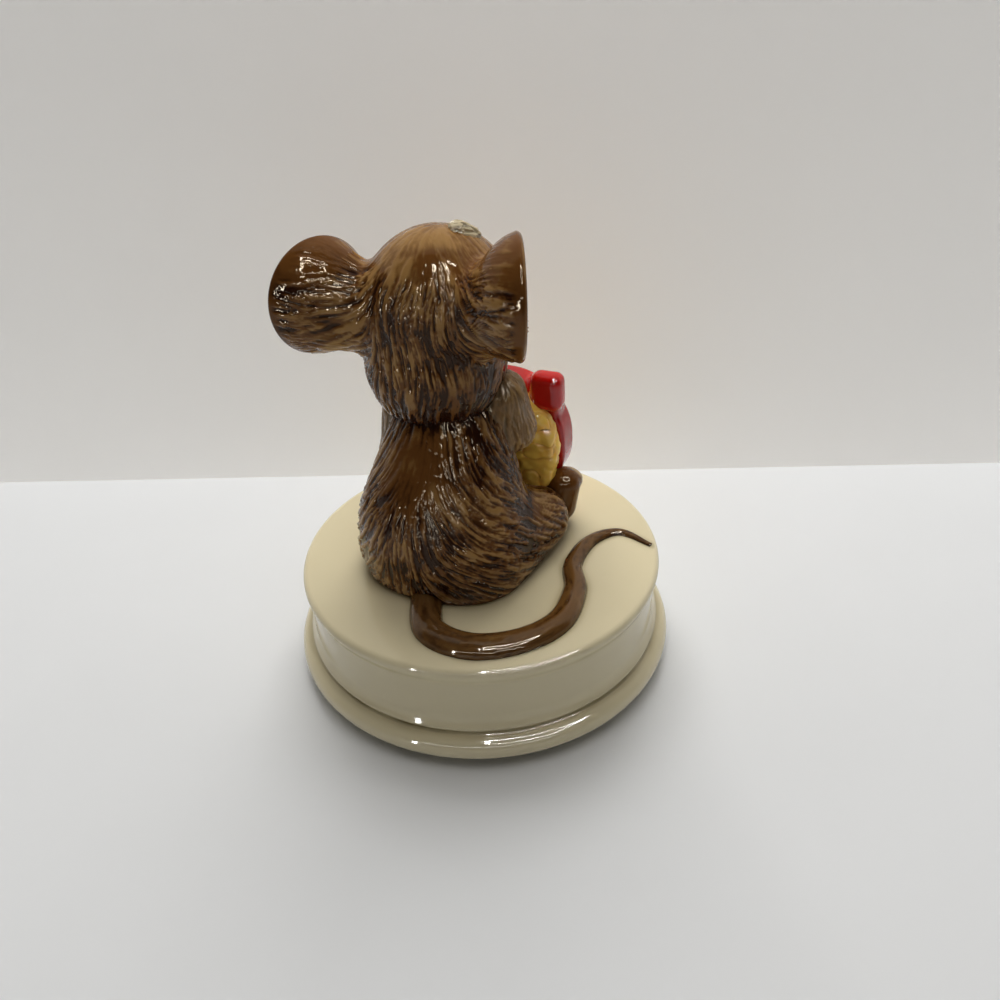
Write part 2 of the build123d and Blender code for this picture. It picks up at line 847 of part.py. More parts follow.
def governor_frame():
    """Folded frame: a foot, two plates and a roof that carries the worm's upper pivot."""
    back = -governor_offset + governor_plate_half_width
    front = -governor_front
    frame = block(
        governor_inner_start - governor_foot_reach, governor_outer_end,
        front, -governor_offset, bedplate_top, governor_foot_top,
    )
    for start in (governor_inner_start, governor_outer_start):
        frame = frame + block(
            start, start + governor_plate_thickness, front, back, bedplate_top, governor_roof
        )
    roof_back = -worm_offset + worm_pitch_radius
    frame = frame + block(
        governor_inner_start, governor_outer_end, front, roof_back,
        governor_top_level, governor_roof,
    )
    cross_hole = tube(
        governor_arbor_radius + bearing_play, 0, -cut_over,
        governor_outer_end - governor_inner_start + cut_over,
    )
    frame = frame - on_governor_axis(cross_hole, governor_inner_start)
    upright_hole = tube(
        governor_arbor_radius + bearing_play, 0, bedplate_top + bearing_play,
        governor_roof + cut_over,
    )
    frame = frame - Pos(worm_place, -worm_offset, 0) * upright_hole
    screw_hole = tube(
        governor_screw_shank_radius, 0, bedplate_top - cut_over, governor_foot_top + cut_over
    )
    return frame - Pos(governor_screw_x, -worm_offset, 0) * screw_hole


def governor_screw():
    """Screw through the governor frame's foot."""
    screw = tube(
        governor_screw_head_radius, 0, governor_foot_top,
        governor_foot_top + governor_screw_head_height,
    )
    screw = screw + tube(governor_screw_shank_radius, 0, bedplate_top, governor_foot_top)
    return Pos(governor_screw_x, -worm_offset, 0) * screw


def governor_arbor():
    """Cross arbor of the governor's wheel."""
    start = cylinder_wheel_start - bearing_play
    return on_governor_axis(
        tube(governor_arbor_radius, 0, 0, governor_outer_end - start), start
    )


def governor_pinion():
    """Small pinion driven by the cylinder's wheel."""
    gear = spur_gear(
        governor_pinion_teeth, train_module, train_tooth_share,
        governor_pinion_width, governor_arbor_radius,
    )
    middle = (cylinder_wheel_start + cylinder_wheel_end) / 2
    return on_governor_axis(gear, middle - governor_pinion_width / 2)


def worm_wheel():
    """Wheel that turns the worm."""
    gear = spur_gear(
        worm_wheel_teeth, worm_module, train_tooth_share,
        worm_wheel_width, governor_arbor_radius,
    )
    return on_governor_axis(gear, worm_wheel_start)


def fan_arbor():
    """Upright arbor: the worm between two pivots, with the fan above."""
    pivot_bottom = bedplate_top + 2 * bearing_play
    fan_top = fan_bottom + fan_height
    arbor = tube(governor_arbor_radius, 0, pivot_bottom, fan_top)
    worm_bottom = governor_foot_top + pass_gap
    arbor = arbor + tube(worm_radius, 0, worm_bottom, governor_top_level - pass_gap)
    return Pos(worm_place, -worm_offset, 0) * arbor


def fan():
    """Air brake: two blades on a hub."""
    hub = tube(fan_hub_radius, governor_arbor_radius, fan_bottom, fan_bottom + fan_height)
    half = fan_thickness / 2
    blade = block(
        (governor_arbor_radius + fan_hub_radius) / 2, fan_radius, -half, half,
        fan_bottom, fan_bottom + fan_height,
    )
    return Pos(worm_place, -worm_offset, 0) * (hub + [blade, Rot(Z=180) * blade])


# Mouse

def torso_form():
    """Pear-shaped body, broad at the seat and cut flat on the drum."""
    seat = in_shares(torso_radius, torso_place_shares)
    chest = in_shares(torso_radius, chest_place_shares)
    return above(on_body() * swelling(seat, torso_radius, chest, chest_radius), base_top)


def head_form():
    """Skull and jowls, with a tapering muzzle and the ears' roots, hollowed where the ears sit."""
    crown = Vector(0, 0, 0)
    jowl = in_shares(skull_radius, jowl_place_shares)
    form = swelling(crown, skull_radius, jowl, jowl_radius)
    root = in_shares(skull_radius, muzzle_root_place_shares)
    tip = in_shares(skull_radius, muzzle_tip_place_shares)
    form = form + swelling(root, muzzle_root_radius, tip, muzzle_tip_radius)
    for hand in (-1, 1):
        centre = ear_centre(hand)
        first, last = centre * ear_root_place_share, centre * ear_neck_place_share
        form = form + swelling(first, ear_root_radius, last, ear_neck_radius)
    for hand in (-1, 1):
        form = form - ear_place(hand) * dish_ball(ear_rim_radius, ear_depth)
    return on_head() * form


def nose():
    """Nose pad at the muzzle's tip."""
    root = in_shares(skull_radius, muzzle_root_place_shares)
    tip = in_shares(skull_radius, muzzle_tip_place_shares)
    reach = (tip - root).normalized() * muzzle_tip_radius * nose_place_share
    place = tip + reach
    return on_head() * Pos(place.X, place.Y, place.Z + nose_radius) * Sphere(nose_radius)


def eyes():
    """Two domed eyes."""
    found = []
    for hand in (-1, 1):
        side, forward, up = eye_place_shares
        place = in_shares(skull_radius, (hand * side, forward, up))
        ball = Plane(origin=place, z_dir=place) * Sphere(eye_radius)
        found.append(on_head() * ball)
    return found


def forelock():
    """Tuft of hair on the brow."""
    root = in_shares(skull_radius, tuft_root_place_shares)
    tip = in_shares(skull_radius, tuft_tip_place_shares)
    return on_head() * swelling(root, tuft_root_radius, tip, tuft_tip_radius)


def dish_ball(rim_radius, depth):
    """The ball whose slice behind the XZ plane has this rim and this depth."""
    ball_radius = (rim_radius**2 + depth**2) / (2 * depth)
    return Pos(0, depth - ball_radius, 0) * Sphere(ball_radius)


def ear_centre(hand):
    """Centre of an ear's rim in the head's frame. hand is 1 on the mouse's left."""
    shares = left_ear_place_shares if hand > 0 else right_ear_place_shares
    return in_shares(skull_radius, shares)


def ear_place(hand):
    """An ear's frame: it opens along its own -Y."""
    centre = ear_centre(hand)
    return Pos(centre.X, centre.Y, centre.Z) * Rot(Y=-ear_lean_angle) * Rot(Z=hand * ear_turn)


def ear(hand):
    """Cupped ear: a slice of a ball, hollowed to an even wall."""
    reach = 2 * ear_rim_radius
    rear = Pos(0, reach / 2, 0) * Box(2 * reach, reach, 2 * reach)
    cup = dish_ball(ear_rim_radius, ear_depth) & rear
    cup = cup - dish_ball(ear_rim_radius - ear_wall, ear_depth - ear_wall)
    return on_head() * ear_place(hand) * cup


def arm_form(shoulder, elbow, wrist):
    """Arm bent at the elbow, its paw pressed to the cheese."""
    upper = body_form(shoulder, shoulder_radius_share, elbow, elbow_radius_share)
    return upper + body_form(elbow, elbow_radius_share, wrist, wrist_radius_share)


def thigh_form(side):
    """Haunch, cut flat on the drum."""
    haunch = body_form(
        side(hip_place_shares), hip_radius_share, side(knee_place_shares), knee_radius_share
    )
    return above(haunch, base_top)


def foot_form(side):
    """Foot with its toes up, resting on its heel."""
    foot = body_form(
        side(heel_place_shares), heel_radius_share, side(toe_place_shares), toe_radius_share
    )
    return above(foot, base_top)


def tail():
    """Tail lying on the drum's top, a half-round ridge that tapers to its tip."""
    path = Spline(*[(lip_radius * x, lip_radius * y) for x, y in tail_path_shares])
    sections = []
    for index in range(tail_sections):
        share = index / (tail_sections - 1)
        taper = 1 - (1 - tail_tip_share) * share**2
        point = path @ share
        along = path % share
        plane = Plane(
            origin=(point.X, point.Y, base_top), x_dir=(-along.Y, along.X, 0), z_dir=(along.X, along.Y, 0)
        )
        arch = EllipticalCenterArc(
            (0, 0), tail_width / 2 * taper, tail_height * taper, start_angle=0, arc_size=half_turn_angle
        )
        sections.append(plane * make_face([arch, Line(arch @ 1, arch @ 0)]))
    return loft(sections, ruled=True)


def cheese_outline(inset):
    """Rounded block outline, inset from the rind's outside."""
    width = cheese_width - 2 * inset
    height = cheese_height - 2 * inset
    return RectangleRounded(width, height, cheese_corner - inset)


def cheese_place():
    """The cheese stands on the lap with its flat side to the chest."""
    chest_front = torso_radius * chest_place_shares[1] + chest_radius
    up = cheese_clearance + cheese_height / 2
    left = torso_radius * cheese_left_share
    return on_body() * Pos(left, -chest_front, up) * Rot(X=90)


def cheese_form():
    """Cheese: a full slab behind the rind, and a core with a bevelled edge inside it."""
    slab = extrude(cheese_outline(rind_lip), rind_start)
    slab = chamfer(slab.faces().sort_by(Axis.Z)[0].edges(), cheese_bevel)
    core = extrude(cheese_outline(rind_thickness), cheese_thickness)
    core = chamfer(core.faces().sort_by(Axis.Z)[-1].edges(), cheese_bevel)
    return cheese_place() * (slab + core)


def rind_form():
    """Wax rind round the cheese's front half, with a rounded knob on its upper corner."""
    band = extrude(cheese_outline(0), rind_end - rind_start)
    band = Pos(0, 0, rind_start) * band
    place = in_shares(torso_radius, knob_place_shares)
    knob = Box(*[torso_radius * share for share in (knob_width_share, knob_depth_share, knob_height_share)])
    knob = on_body() * Pos(place.X, place.Y, place.Z) * fillet(knob.edges(), knob_rounding)
    core = extrude(cheese_outline(rind_thickness), cheese_thickness)
    return cheese_place() * band + knob - cheese_place() * core


def trimmed(form, *larger):
    """A piece without what larger pieces take of it."""
    for piece in larger:
        form = form - piece
    return main_solid(form)


def figure():
    """The mouse's pieces, each trimmed by the larger ones that it was luted to."""
    torso = main_solid(torso_form())
    head = trimmed(head_form(), torso)
    rind = trimmed(rind_form(), torso, head)
    cheese = trimmed(cheese_form(), torso, head, rind)
    made = {"mouse_torso": torso, "mouse_head": head, "cheese": cheese, "cheese_rind": rind}
    held = (torso, head, rind, cheese)
    left_arm = (left_shoulder_place_shares, left_elbow_place_shares, left_wrist_place_shares)
    right_arm = (right_shoulder_place_shares, right_elbow_place_shares, right_wrist_place_shares)
    for name, hand, side, arm in (("left", 1, mirrored, left_arm), ("right", -1, tuple, right_arm)):
        thigh = trimmed(thigh_form(side), *held)
        made[name + "_thigh"] = thigh
        made[name + "_foot"] = trimmed(foot_form(side), *held, thigh)
        made[name + "_arm"] = trimmed(arm_form(*arm), *held, thigh)
        made[name + "_ear"] = ear(hand)
    made["nose"] = trimmed(nose(), head)
    made["eyes"] = [trimmed(eye, head) for eye in eyes()]
    made["forelock"] = trimmed(forelock(), head)
    made["tail"] = trimmed(tail(), torso)
    return made


def movement():
    """The turntable and the movement inside the drum."""
    return {
        "foot_pad": foot_pad(),
        "turntable": turntable(),
        "turntable_screw": turntable_screw(),
        "winding_arbor": winding_arbor(),
        "crown_wheel": crown_wheel(),
        "closing_plate": closing_plate(),
        "mounting_screws": mounting_screws(),
        "bedplate": bedplate(),
        "arbor_bush": arbor_bush(),
        "spring_barrel": spring_barrel(),
        "mainspring": mainspring(),
        "bridge": bridge(),
        "bridge_pillars": bridge_pillars(),
        "bridge_screws": bridge_screws(),
        "cylinder_arbor": cylinder_arbor(),
        "cylinder_pinion": cylinder_pinion(),
        "music_cylinder": music_cylinder(),
        "cylinder_wheel": cylinder_wheel(),
        "bearing_brackets": bearing_brackets(),
        "comb": comb(),
        "comb_block": comb_block(),
        "comb_screws": comb_screws(),
        "governor_frame": governor_frame(),
        "governor_screw": governor_screw(),
        "governor_arbor": governor_arbor(),
        "governor_pinion": governor_pinion(),
        "worm_wheel": worm_wheel(),
        "fan_arbor": fan_arbor(),
        "fan": fan(),
    }


def write(name, shape):
    """Writes one named piece. A list is a group of like solids."""
    if isinstance(shape, list):
        shape = Compound(children=[part.solids()[0] for part in shape])
    export_step(shape, os.path.join("parts", name + ".step"))


os.makedirs("parts", exist_ok=True)
write("drum_base", drum_base())
for name, shape in movement().items():
    write(name, shape)
for name, shape in figure().items():
    write(name, shape)
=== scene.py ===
"""Glaze, fur strokes and fittings of a revolving musical mouse figurine.

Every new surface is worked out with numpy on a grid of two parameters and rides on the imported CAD.
"""

import json
from math import cos, pi, radians, sin

import bpy
import numpy as np
from bpy.props import FloatProperty, FloatVectorProperty, PointerProperty
from bpy.types import Operator, Panel, PropertyGroup
from mathutils import Matrix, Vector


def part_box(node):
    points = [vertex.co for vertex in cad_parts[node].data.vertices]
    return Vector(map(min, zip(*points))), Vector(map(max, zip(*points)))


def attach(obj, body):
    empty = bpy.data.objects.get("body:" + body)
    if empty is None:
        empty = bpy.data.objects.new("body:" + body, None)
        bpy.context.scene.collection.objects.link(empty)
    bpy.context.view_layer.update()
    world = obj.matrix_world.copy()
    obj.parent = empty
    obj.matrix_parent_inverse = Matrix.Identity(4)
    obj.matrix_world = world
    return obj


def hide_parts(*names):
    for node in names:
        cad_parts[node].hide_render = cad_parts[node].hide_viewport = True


bl_info = {
    "name": "Musical mouse figurine",
    "version": (1, 0, 0),
    "blender": (4, 5, 0),
    "location": "3D View > Sidebar > Figurine",
    "description": "Dresses the packed musical mouse figurine in glaze and fur strokes",
    "category": "Object",
}

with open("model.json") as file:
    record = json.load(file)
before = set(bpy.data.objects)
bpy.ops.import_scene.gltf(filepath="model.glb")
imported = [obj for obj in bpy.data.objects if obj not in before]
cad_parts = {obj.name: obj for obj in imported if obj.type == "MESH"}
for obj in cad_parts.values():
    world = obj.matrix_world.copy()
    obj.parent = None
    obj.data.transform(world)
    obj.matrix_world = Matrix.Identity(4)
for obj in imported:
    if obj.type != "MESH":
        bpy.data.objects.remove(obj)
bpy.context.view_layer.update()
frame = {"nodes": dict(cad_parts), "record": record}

MM = 0.001
drum_low, drum_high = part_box("drum_base")
torso_low, torso_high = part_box("mouse_torso")


# Sizes and colours that a user would change

def length(name, default, description):
    """A size in metres."""
    return FloatProperty(name=name, description=description, default=default, unit="LENGTH")


def angle(name, degrees, description):
    """A turn, kept in radians."""
    return FloatProperty(name=name, description=description, default=radians(degrees), subtype="ANGLE")


def share(name, default, description):
    """A plain factor."""
    return FloatProperty(name=name, description=description, default=default)


def colour(name, default, description):
    """A linear colour."""
    return FloatVectorProperty(
        name=name, description=description, default=default, size=3, subtype="COLOR", min=0, max=1
    )


class DrumSizes(PropertyGroup):
    """Sizes of the drum and its turntable."""

    top: length("Top", drum_high.z, "Level of the drum's flat top")
    bottom: length("Bottom", drum_low.z, "Level of the foot bead's underside")
    bead_radius: length("Bead radius", drum_high.x, "Outside radius of the foot bead")
    bead_size: length("Bead size", 3.2 * MM, "Radius of the half-round bead")
    groove_drop: length("Groove", 0.8 * MM, "Depth of the groove over the bead")
    wall_radius: length("Wall radius", 45.6 * MM, "Radius of the drum's wall")
    foot_flare: length("Foot flare", 1.5 * MM, "How far the wall flares at its foot")
    foot_cove: length("Foot cove", 4.0 * MM, "Height of the flare at the wall's foot")
    lip_overhang: length("Lip overhang", 1.1 * MM, "How far the lip stands over the wall")
    lip_rounding: length("Lip rounding", 1.55 * MM, "Rounding of the lip's edge")
    lip_cove: length("Lip cove", 3.6 * MM, "Height of the curve under the lip")
    wall: length("Ware thickness", 3.6 * MM, "Thickness of the slip-cast wall")
    ledge: length("Ledge", 1.6 * MM, "Ledge that the closing plate sits on")
    plate_level: length("Plate level", 7.0 * MM, "Level of the closing plate's upper side")


class MouseSizes(PropertyGroup):
    """Sizes of the mouse."""

    seat_left: length("Seat left", 5.4 * MM, "Where the mouse sits, to its left of the centre")
    seat_back: length("Seat back", 2.5 * MM, "Where the mouse sits, behind the centre")
    torso_radius: length("Torso radius", (torso_high.x - torso_low.x) / 2, "Radius of the body at the seat")
    skull_radius: length("Skull radius", 17.6 * MM, "Radius of the skull")
    head_sink: length("Head sink", 10.4 * MM, "How deep the jowls sit in the chest")
    head_turn: angle("Head turn", 1.0, "Turn of the head about the upright")
    head_roll: angle("Head roll", 5.7, "Tilt of the head to the mouse's left")
    ear_radius: length("Ear radius", 13.5 * MM, "Radius of the ear's rim")
    ear_depth: length("Ear depth", 9.5 * MM, "How far the ear's back stands behind its rim")
    ear_wall: length("Ear wall", 2.4 * MM, "Thickness of the ear's edge")
    ear_turn: angle("Ear turn", 66.0, "Turn of each ear's opening from straight ahead")
    ear_lean: angle("Ear lean", 7.0, "How far both ears lean back from the head's tilt")
    eye_radius: length("Eye radius", 2.8 * MM, "Radius of an eye")
    tail_width: length("Tail width", 8.0 * MM, "Width of the tail at its root")
    tail_height: length("Tail height", 3.4 * MM, "Height of the tail at its root")
    stroke_width: length("Stroke width", 0.66 * MM, "Width of one carved fur stroke")
    stroke_length: length("Stroke length", 6.0 * MM, "Length of one carved fur stroke")
    stroke_depth: length("Stroke depth", 0.52 * MM, "Depth of the carved fur strokes")


class GlazeColours(PropertyGroup):
    """Colours of the glazes, linear."""

    cream: colour("Cream", (0.67, 0.595, 0.40), "Drum glaze")
    # Olive also darkens the drum as painted shade under the lip, beside the mouse and at the bead's foot;
    # groove is also the tone of the fur's painted shade in creases.
    olive: colour("Olive", (0.20, 0.15, 0.055), "Stain that pools in the drum's groove")
    ridge: colour("Ridge", (0.31, 0.170, 0.056), "Fur glaze where it runs thin")
    brown: colour("Brown", (0.130, 0.050, 0.011), "Fur glaze at its middle depth")
    groove: colour("Groove", (0.022, 0.0045, 0.0010), "Fur glaze pooled in the strokes")
    belly: colour("Belly", (0.46, 0.33, 0.17), "Paler glaze of the belly and muzzle")
    blush: colour("Blush", (0.56, 0.30, 0.20), "Inside of the ears")
    straw: colour("Straw", (0.66, 0.56, 0.36), "Tuft of hair on the brow")
    wax: colour("Wax", (0.62, 0.008, 0.006), "Red wax rind")
    cheese: colour("Cheese", (0.98, 0.56, 0.10), "Golden cheese")
    toffee: colour("Toffee", (0.30, 0.12, 0.015), "Glaze pooled in the cheese's cracks")
    black: colour("Black", (0.006, 0.004, 0.004), "Eyes and nose")


class StudioSettings(PropertyGroup):
    """Camera and light."""

    azimuth: angle("Azimuth", 205.0, "The camera's bearing round the figurine")
    elevation: angle("Elevation", 41.54, "The camera's height over the horizon")
    distance: length("Distance", 255.75 * MM, "From the camera to the drum's foot")
    yaw: angle("Yaw", -1.42, "Turn of the lens from the drum's axis")
    pitch: angle("Pitch", -7.66, "Tilt of the lens above the drum's foot")
    roll: angle("Roll", -3.68, "Roll of the camera")
    lens_share: share("Lens", 0.9, "Focal length as a share of the picture's width")
    floor: colour("Floor", (0.70, 0.715, 0.735), "Table top")
    wall: colour("Wall", (0.80, 0.785, 0.76), "Backdrop")
    wall_glow: share("Backdrop glow", 0.27, "Light that the backdrop sends out by itself")
    sky: colour("Sky", (1.0, 0.95, 0.88), "Light from all round")
    ambient: share("Ambient", 0.06, "Strength of the light from all round")


def drum_sizes():
    """The drum's sizes."""
    return bpy.context.scene.drum_sizes


def mouse_sizes():
    """The mouse's sizes."""
    return bpy.context.scene.mouse_sizes


# Places. The mouse's own axes are x to its left, -y forward and z up. Hand 1 is its left, -1 its right.

torso_place_shares = (0.06, 0.16, 0.53)
chest_place_shares = (0.04, -0.05, 1.50)
core_place_shares = (0.03, 0.10, 0.62)
chest_radius_share = 0.67
arm_place_shares = {
    1: ((0.56, -0.14, 1.76), (0.70, -0.16, 1.17), (0.80, -0.92, 1.30)),
    -1: ((-0.49, -0.36, 1.98), (-0.56, -0.49, 1.53), (-0.30, -0.86, 1.28)),
}
arm_radius_shares = (0.30, 0.26, 0.23)
hip_place_shares = (-0.27, 0.28, 0.28)
hip_radius_share = 0.765
knee_place_shares = (-0.83, -0.52, 0.31)
knee_radius_share = 0.39
heel_place_shares = (-0.94, -0.93, 0.28)
heel_radius_share = 0.25
toe_place_shares = (-1.03, -0.96, 0.57)
toe_radius_share = 0.20
limb_midline_share = 0.02
head_place_shares = (0.11, -0.23)
jowl_place_shares = (0.20, 0.0, -0.74)
jowl_radius_share = 0.932
ear_place_shares = {1: (1.40, 0.57, 0.30), -1: (-1.33, 0.57, 0.28)}
cheese_size_shares = (1.70, 0.688, 1.674)
cheese_left_share = -0.17
cheese_clearance_share = 0.206
cheese_corner_share = 0.80
rind_share = 0.138
rind_start_share = 0.27
rind_end_share = 0.642
knob_size_shares = (0.42, 0.32, 0.48)
knob_place_shares = (-0.735, -1.156, 1.66)
knob_lean_shares = (-0.083, 0.192, 0.140)
tail_path_shares = (
    (0.12, 0.46), (-0.03, 0.73), (-0.27, 0.78), (-0.49, 0.66), (-0.625, 0.45),
    (-0.62, 0.185), (-0.545, -0.015), (-0.57, -0.25), (-0.705, -0.39), (-0.905, -0.328),
)
tail_tip_share = 0.16
back_way = (-0.33, 0.76, 0.30)
sunk = 0.2 * MM


def body_point(shares):
    """A place in the mouse's frame, given in shares of the torso's radius."""
    return seat() + mouse_sizes().torso_radius * np.array(shares)


def seat():
    """Origin of the mouse's frame: its seat on the drum's top."""
    sizes = mouse_sizes()
    return np.array([sizes.seat_left, sizes.seat_back, drum_sizes().top])


def limb_point(shares, hand):
    """A place on a leg, given for the mouse's right and mirrored for its left."""
    return body_point((2 * limb_midline_share - shares[0], *shares[1:]) if hand > 0 else shares)


def tilt(turn):
    """A turn about y as a matrix."""
    return np.array([[cos(turn), 0, sin(turn)], [0, 1, 0], [-sin(turn), 0, cos(turn)]])


def head_axes():
    """The head's own axes as columns: a turn about z, then a tilt about y."""
    turn = mouse_sizes().head_turn
    about_z = np.array([[cos(turn), -sin(turn), 0], [sin(turn), cos(turn), 0], [0, 0, 1]])
    return about_z @ tilt(mouse_sizes().head_roll)


def head_origin():
    """The skull's centre: its jowls are sunk into the chest."""
    sizes = mouse_sizes()
    torso, skull = sizes.torso_radius, sizes.skull_radius
    chest_top = torso * (chest_place_shares[2] + chest_radius_share)
    up = chest_top - sizes.head_sink + skull * (jowl_radius_share - jowl_place_shares[2])
    left, back = head_place_shares
    return seat() + np.array([torso * left, torso * back, up])


def head_point(shares):
    """A place in the head's frame, given in shares of the skull's radius."""
    return head_origin() + head_axes() @ (mouse_sizes().skull_radius * np.array(shares))


def in_head(points):
    """Points in the head's frame, in shares of the skull's radius: side, back and up."""
    return ((points - head_origin()) @ head_axes() / mouse_sizes().skull_radius).T


def ear_frame(hand):
    """Centre of an ear's rim and its axes as columns: side, opening and up."""
    turn = hand * mouse_sizes().ear_turn
    own = np.array([[cos(turn), sin(turn), 0], [sin(turn), -cos(turn), 0], [0, 0, 1.0]])
    return head_point(ear_place_shares[hand]), head_axes() @ tilt(-mouse_sizes().ear_lean) @ own


# Distances to forms, for whole arrays of points

def ball(points, centre, radius):
    """Distance to a ball."""
    return np.linalg.norm(points - centre, axis=-1) - radius


def swelling(points, first, second, first_radius, second_radius):
    """Distance to two balls and the cone that touches both, from the plane through their axis."""
    along = second - first
    span = along @ along
    fall = first_radius - second_radius
    rest = span - fall * fall
    offset = points - first
    height = offset @ along
    beyond = height - span
    across = ((offset * span - height[..., None] * along) ** 2).sum(axis=-1)
    reach = height * height * span
    over = beyond * beyond * span
    side = np.sign(fall) * fall * fall * across
    cone = (np.sqrt(across * rest / span) + height * fall) / span - first_radius
    low = np.sqrt(across + reach) / span - first_radius
    high = np.sqrt(across + over) / span - second_radius
    past_low = np.where(np.sign(height) * rest * reach < side, low, cone)
    return np.where(np.sign(beyond) * rest * over > side, high, past_low)


def rounded(gap, rounding):
    """Distance to a box with rounded edges, from the gaps to its sides drawn in by the rounding."""
    return np.linalg.norm(np.maximum(gap, 0), axis=-1) + np.minimum(gap.max(axis=-1), 0) - rounding


def crossed(first, second, rounding):
    """Distance to what lies within both forms, with its edge rounded."""
    return rounded(np.stack([first + rounding, second + rounding], axis=-1), rounding)


def rounded_box(points, centre, half_sizes, rounding):
    """Distance to a box with rounded edges, along the part's axes."""
    return rounded(np.abs(points - centre) - (half_sizes - rounding), rounding)


def merged(first, second, softness):
    """Smooth union: the smaller distance, lowered by a parabola where the two are nearly equal."""
    overlap = np.maximum(softness - np.abs(first - second), 0) / softness
    return np.minimum(first, second) - overlap * overlap * softness / 4


def fade(values, low, high):
    """Smooth step from 0 at low to 1 at high."""
    part = np.clip((values - low) / (high - low), 0, 1)
    return part * part * (3 - 2 * part)


def hill(values, width):
    """Bell curve: 1 at zero, falling away over a width."""
    return np.exp(-((values / width) ** 2))


def falling(gap, width):
    """1 up to a gap of zero, and falling away beyond."""
    return np.exp(-np.maximum(gap, 0) / width)


def unit(vectors):
    """Vectors of length one."""
    return vectors / np.maximum(np.linalg.norm(vectors, axis=-1, keepdims=True), 1e-12)


# Noise: random values from -1 to 1 on cubic lattices that repeat

TABLE_SIDE = 64
tables = [np.random.RandomState(seed).uniform(-1, 1, (TABLE_SIDE,) * 3) for seed in range(4)]


def lattice_noise(points, table):
    """Value noise: lattice values blended over each unit cell by smooth steps."""
    cell = np.floor(points)
    x, y, z = (cell.astype(np.int64) % TABLE_SIDE).transpose()
    next_x, next_y, next_z = (x + 1) % TABLE_SIDE, (y + 1) % TABLE_SIDE, (z + 1) % TABLE_SIDE
    u, v, w = fade(points - cell, 0, 1).transpose()

    def edge(at_y, at_z):
        near, far = table[x, at_y, at_z], table[next_x, at_y, at_z]
        return near + (far - near) * u

    low = edge(y, z) * (1 - v) + edge(next_y, z) * v
    high = edge(y, next_z) * (1 - v) + edge(next_y, next_z) * v
    return low + (high - low) * w


def wander(points, cell):
    """A slow random drift of the stroke direction."""
    return np.stack([lattice_noise(points / cell, table) for table in tables[:3]], axis=-1)


def combed(points, normals, flow, width, reach, table):
    """Fur: noise smeared along a flow over the surface, then brought to a spread of one.

    Each point walks both ways along the flow in small steps and averages the noise that it meets.
    """
    steps, stray = 7, 0.24
    total = lattice_noise(points / width, table)
    drift = stray * (wander(points, 6.5 * MM) + 0.7 * wander(points, 2.6 * MM))
    for step in (reach / (2 * steps), -reach / (2 * steps)):
        place = points
        for _ in range(steps):
            heading = unit(flow(place)) + drift
            heading = heading - (heading * normals).sum(axis=-1, keepdims=True) * normals
            place = place + step * unit(heading)
            total = total + lattice_noise(place / width, table)
    return total / max(total.std(), 1e-9)


# Grids

def cast(field, origins, directions, reach, scans=30, halvings=12):
    """How far rays run from inside a form to its skin: a scan for the first way out, then halving."""
    low = np.zeros(directions.shape[:-1])
    high = np.full(directions.shape[:-1], float(reach))
    open_rays = np.ones(directions.shape[:-1], bool)
    for distance in np.linspace(0, reach, scans)[1:]:
        outside = field(origins + directions * distance) > 0
        high = np.where(open_rays & outside, distance, high)
        open_rays = open_rays & ~outside
        low = np.where(open_rays, distance, low)
    for _ in range(halvings):
        middle = (low + high) / 2
        outside = field(origins + directions * middle[..., None]) > 0
        high = np.where(outside, middle, high)
        low = np.where(outside, low, middle)
    return (low + high) / 2


def turns(count):
    """Even steps once round, without the last."""
    return np.linspace(0, 2 * pi, count, endpoint=False)


def star_surface(field, centre, rows, columns, reach, pole=(0, 0, 1), crowding=0.0):
    """Points where rays from one centre leave a form.

    The rays step evenly in longitude about a pole and in latitude from it. Crowding makes the rows
    closer near the pole: part + crowding * part * (part - 1).
    """
    part = np.linspace(0, 1, rows)[:, None]
    latitude = pi * (part + crowding * part * (part - 1))
    level, longitude = np.sin(latitude), turns(columns)
    local = np.stack(
        [level * np.cos(longitude), level * np.sin(longitude), np.cos(latitude) + 0 * longitude], axis=-1
    )
    last = unit(np.array(pole, float))
    spare = np.array([0, 1.0, 0]) if abs(last[2]) > 0.9 else np.array([0, 0, 1.0])
    first = unit(np.cross(spare, last))
    directions = local @ np.stack([first, np.cross(last, first), last])
    far = cast(field, np.array(centre), directions, reach)
    return centre + directions * far[..., None]


def lathe(profile, columns, centre=(0, 0, 0), axes=((1, 0, 0), (0, 1, 0), (0, 0, 1))):
    """A profile of radii and heights turned about an axis, once round in even steps."""
    moved = np.linalg.norm(np.diff(profile, axis=0), axis=1) > 1e-7
    profile = profile[np.concatenate([[True], moved])]
    around, radius, height = turns(columns), profile[:, :1], profile[:, 1:]
    local = np.stack([radius * np.cos(around), radius * np.sin(around), height + 0 * around], axis=-1)
    return np.array(centre) + local @ np.array(axes, float).T


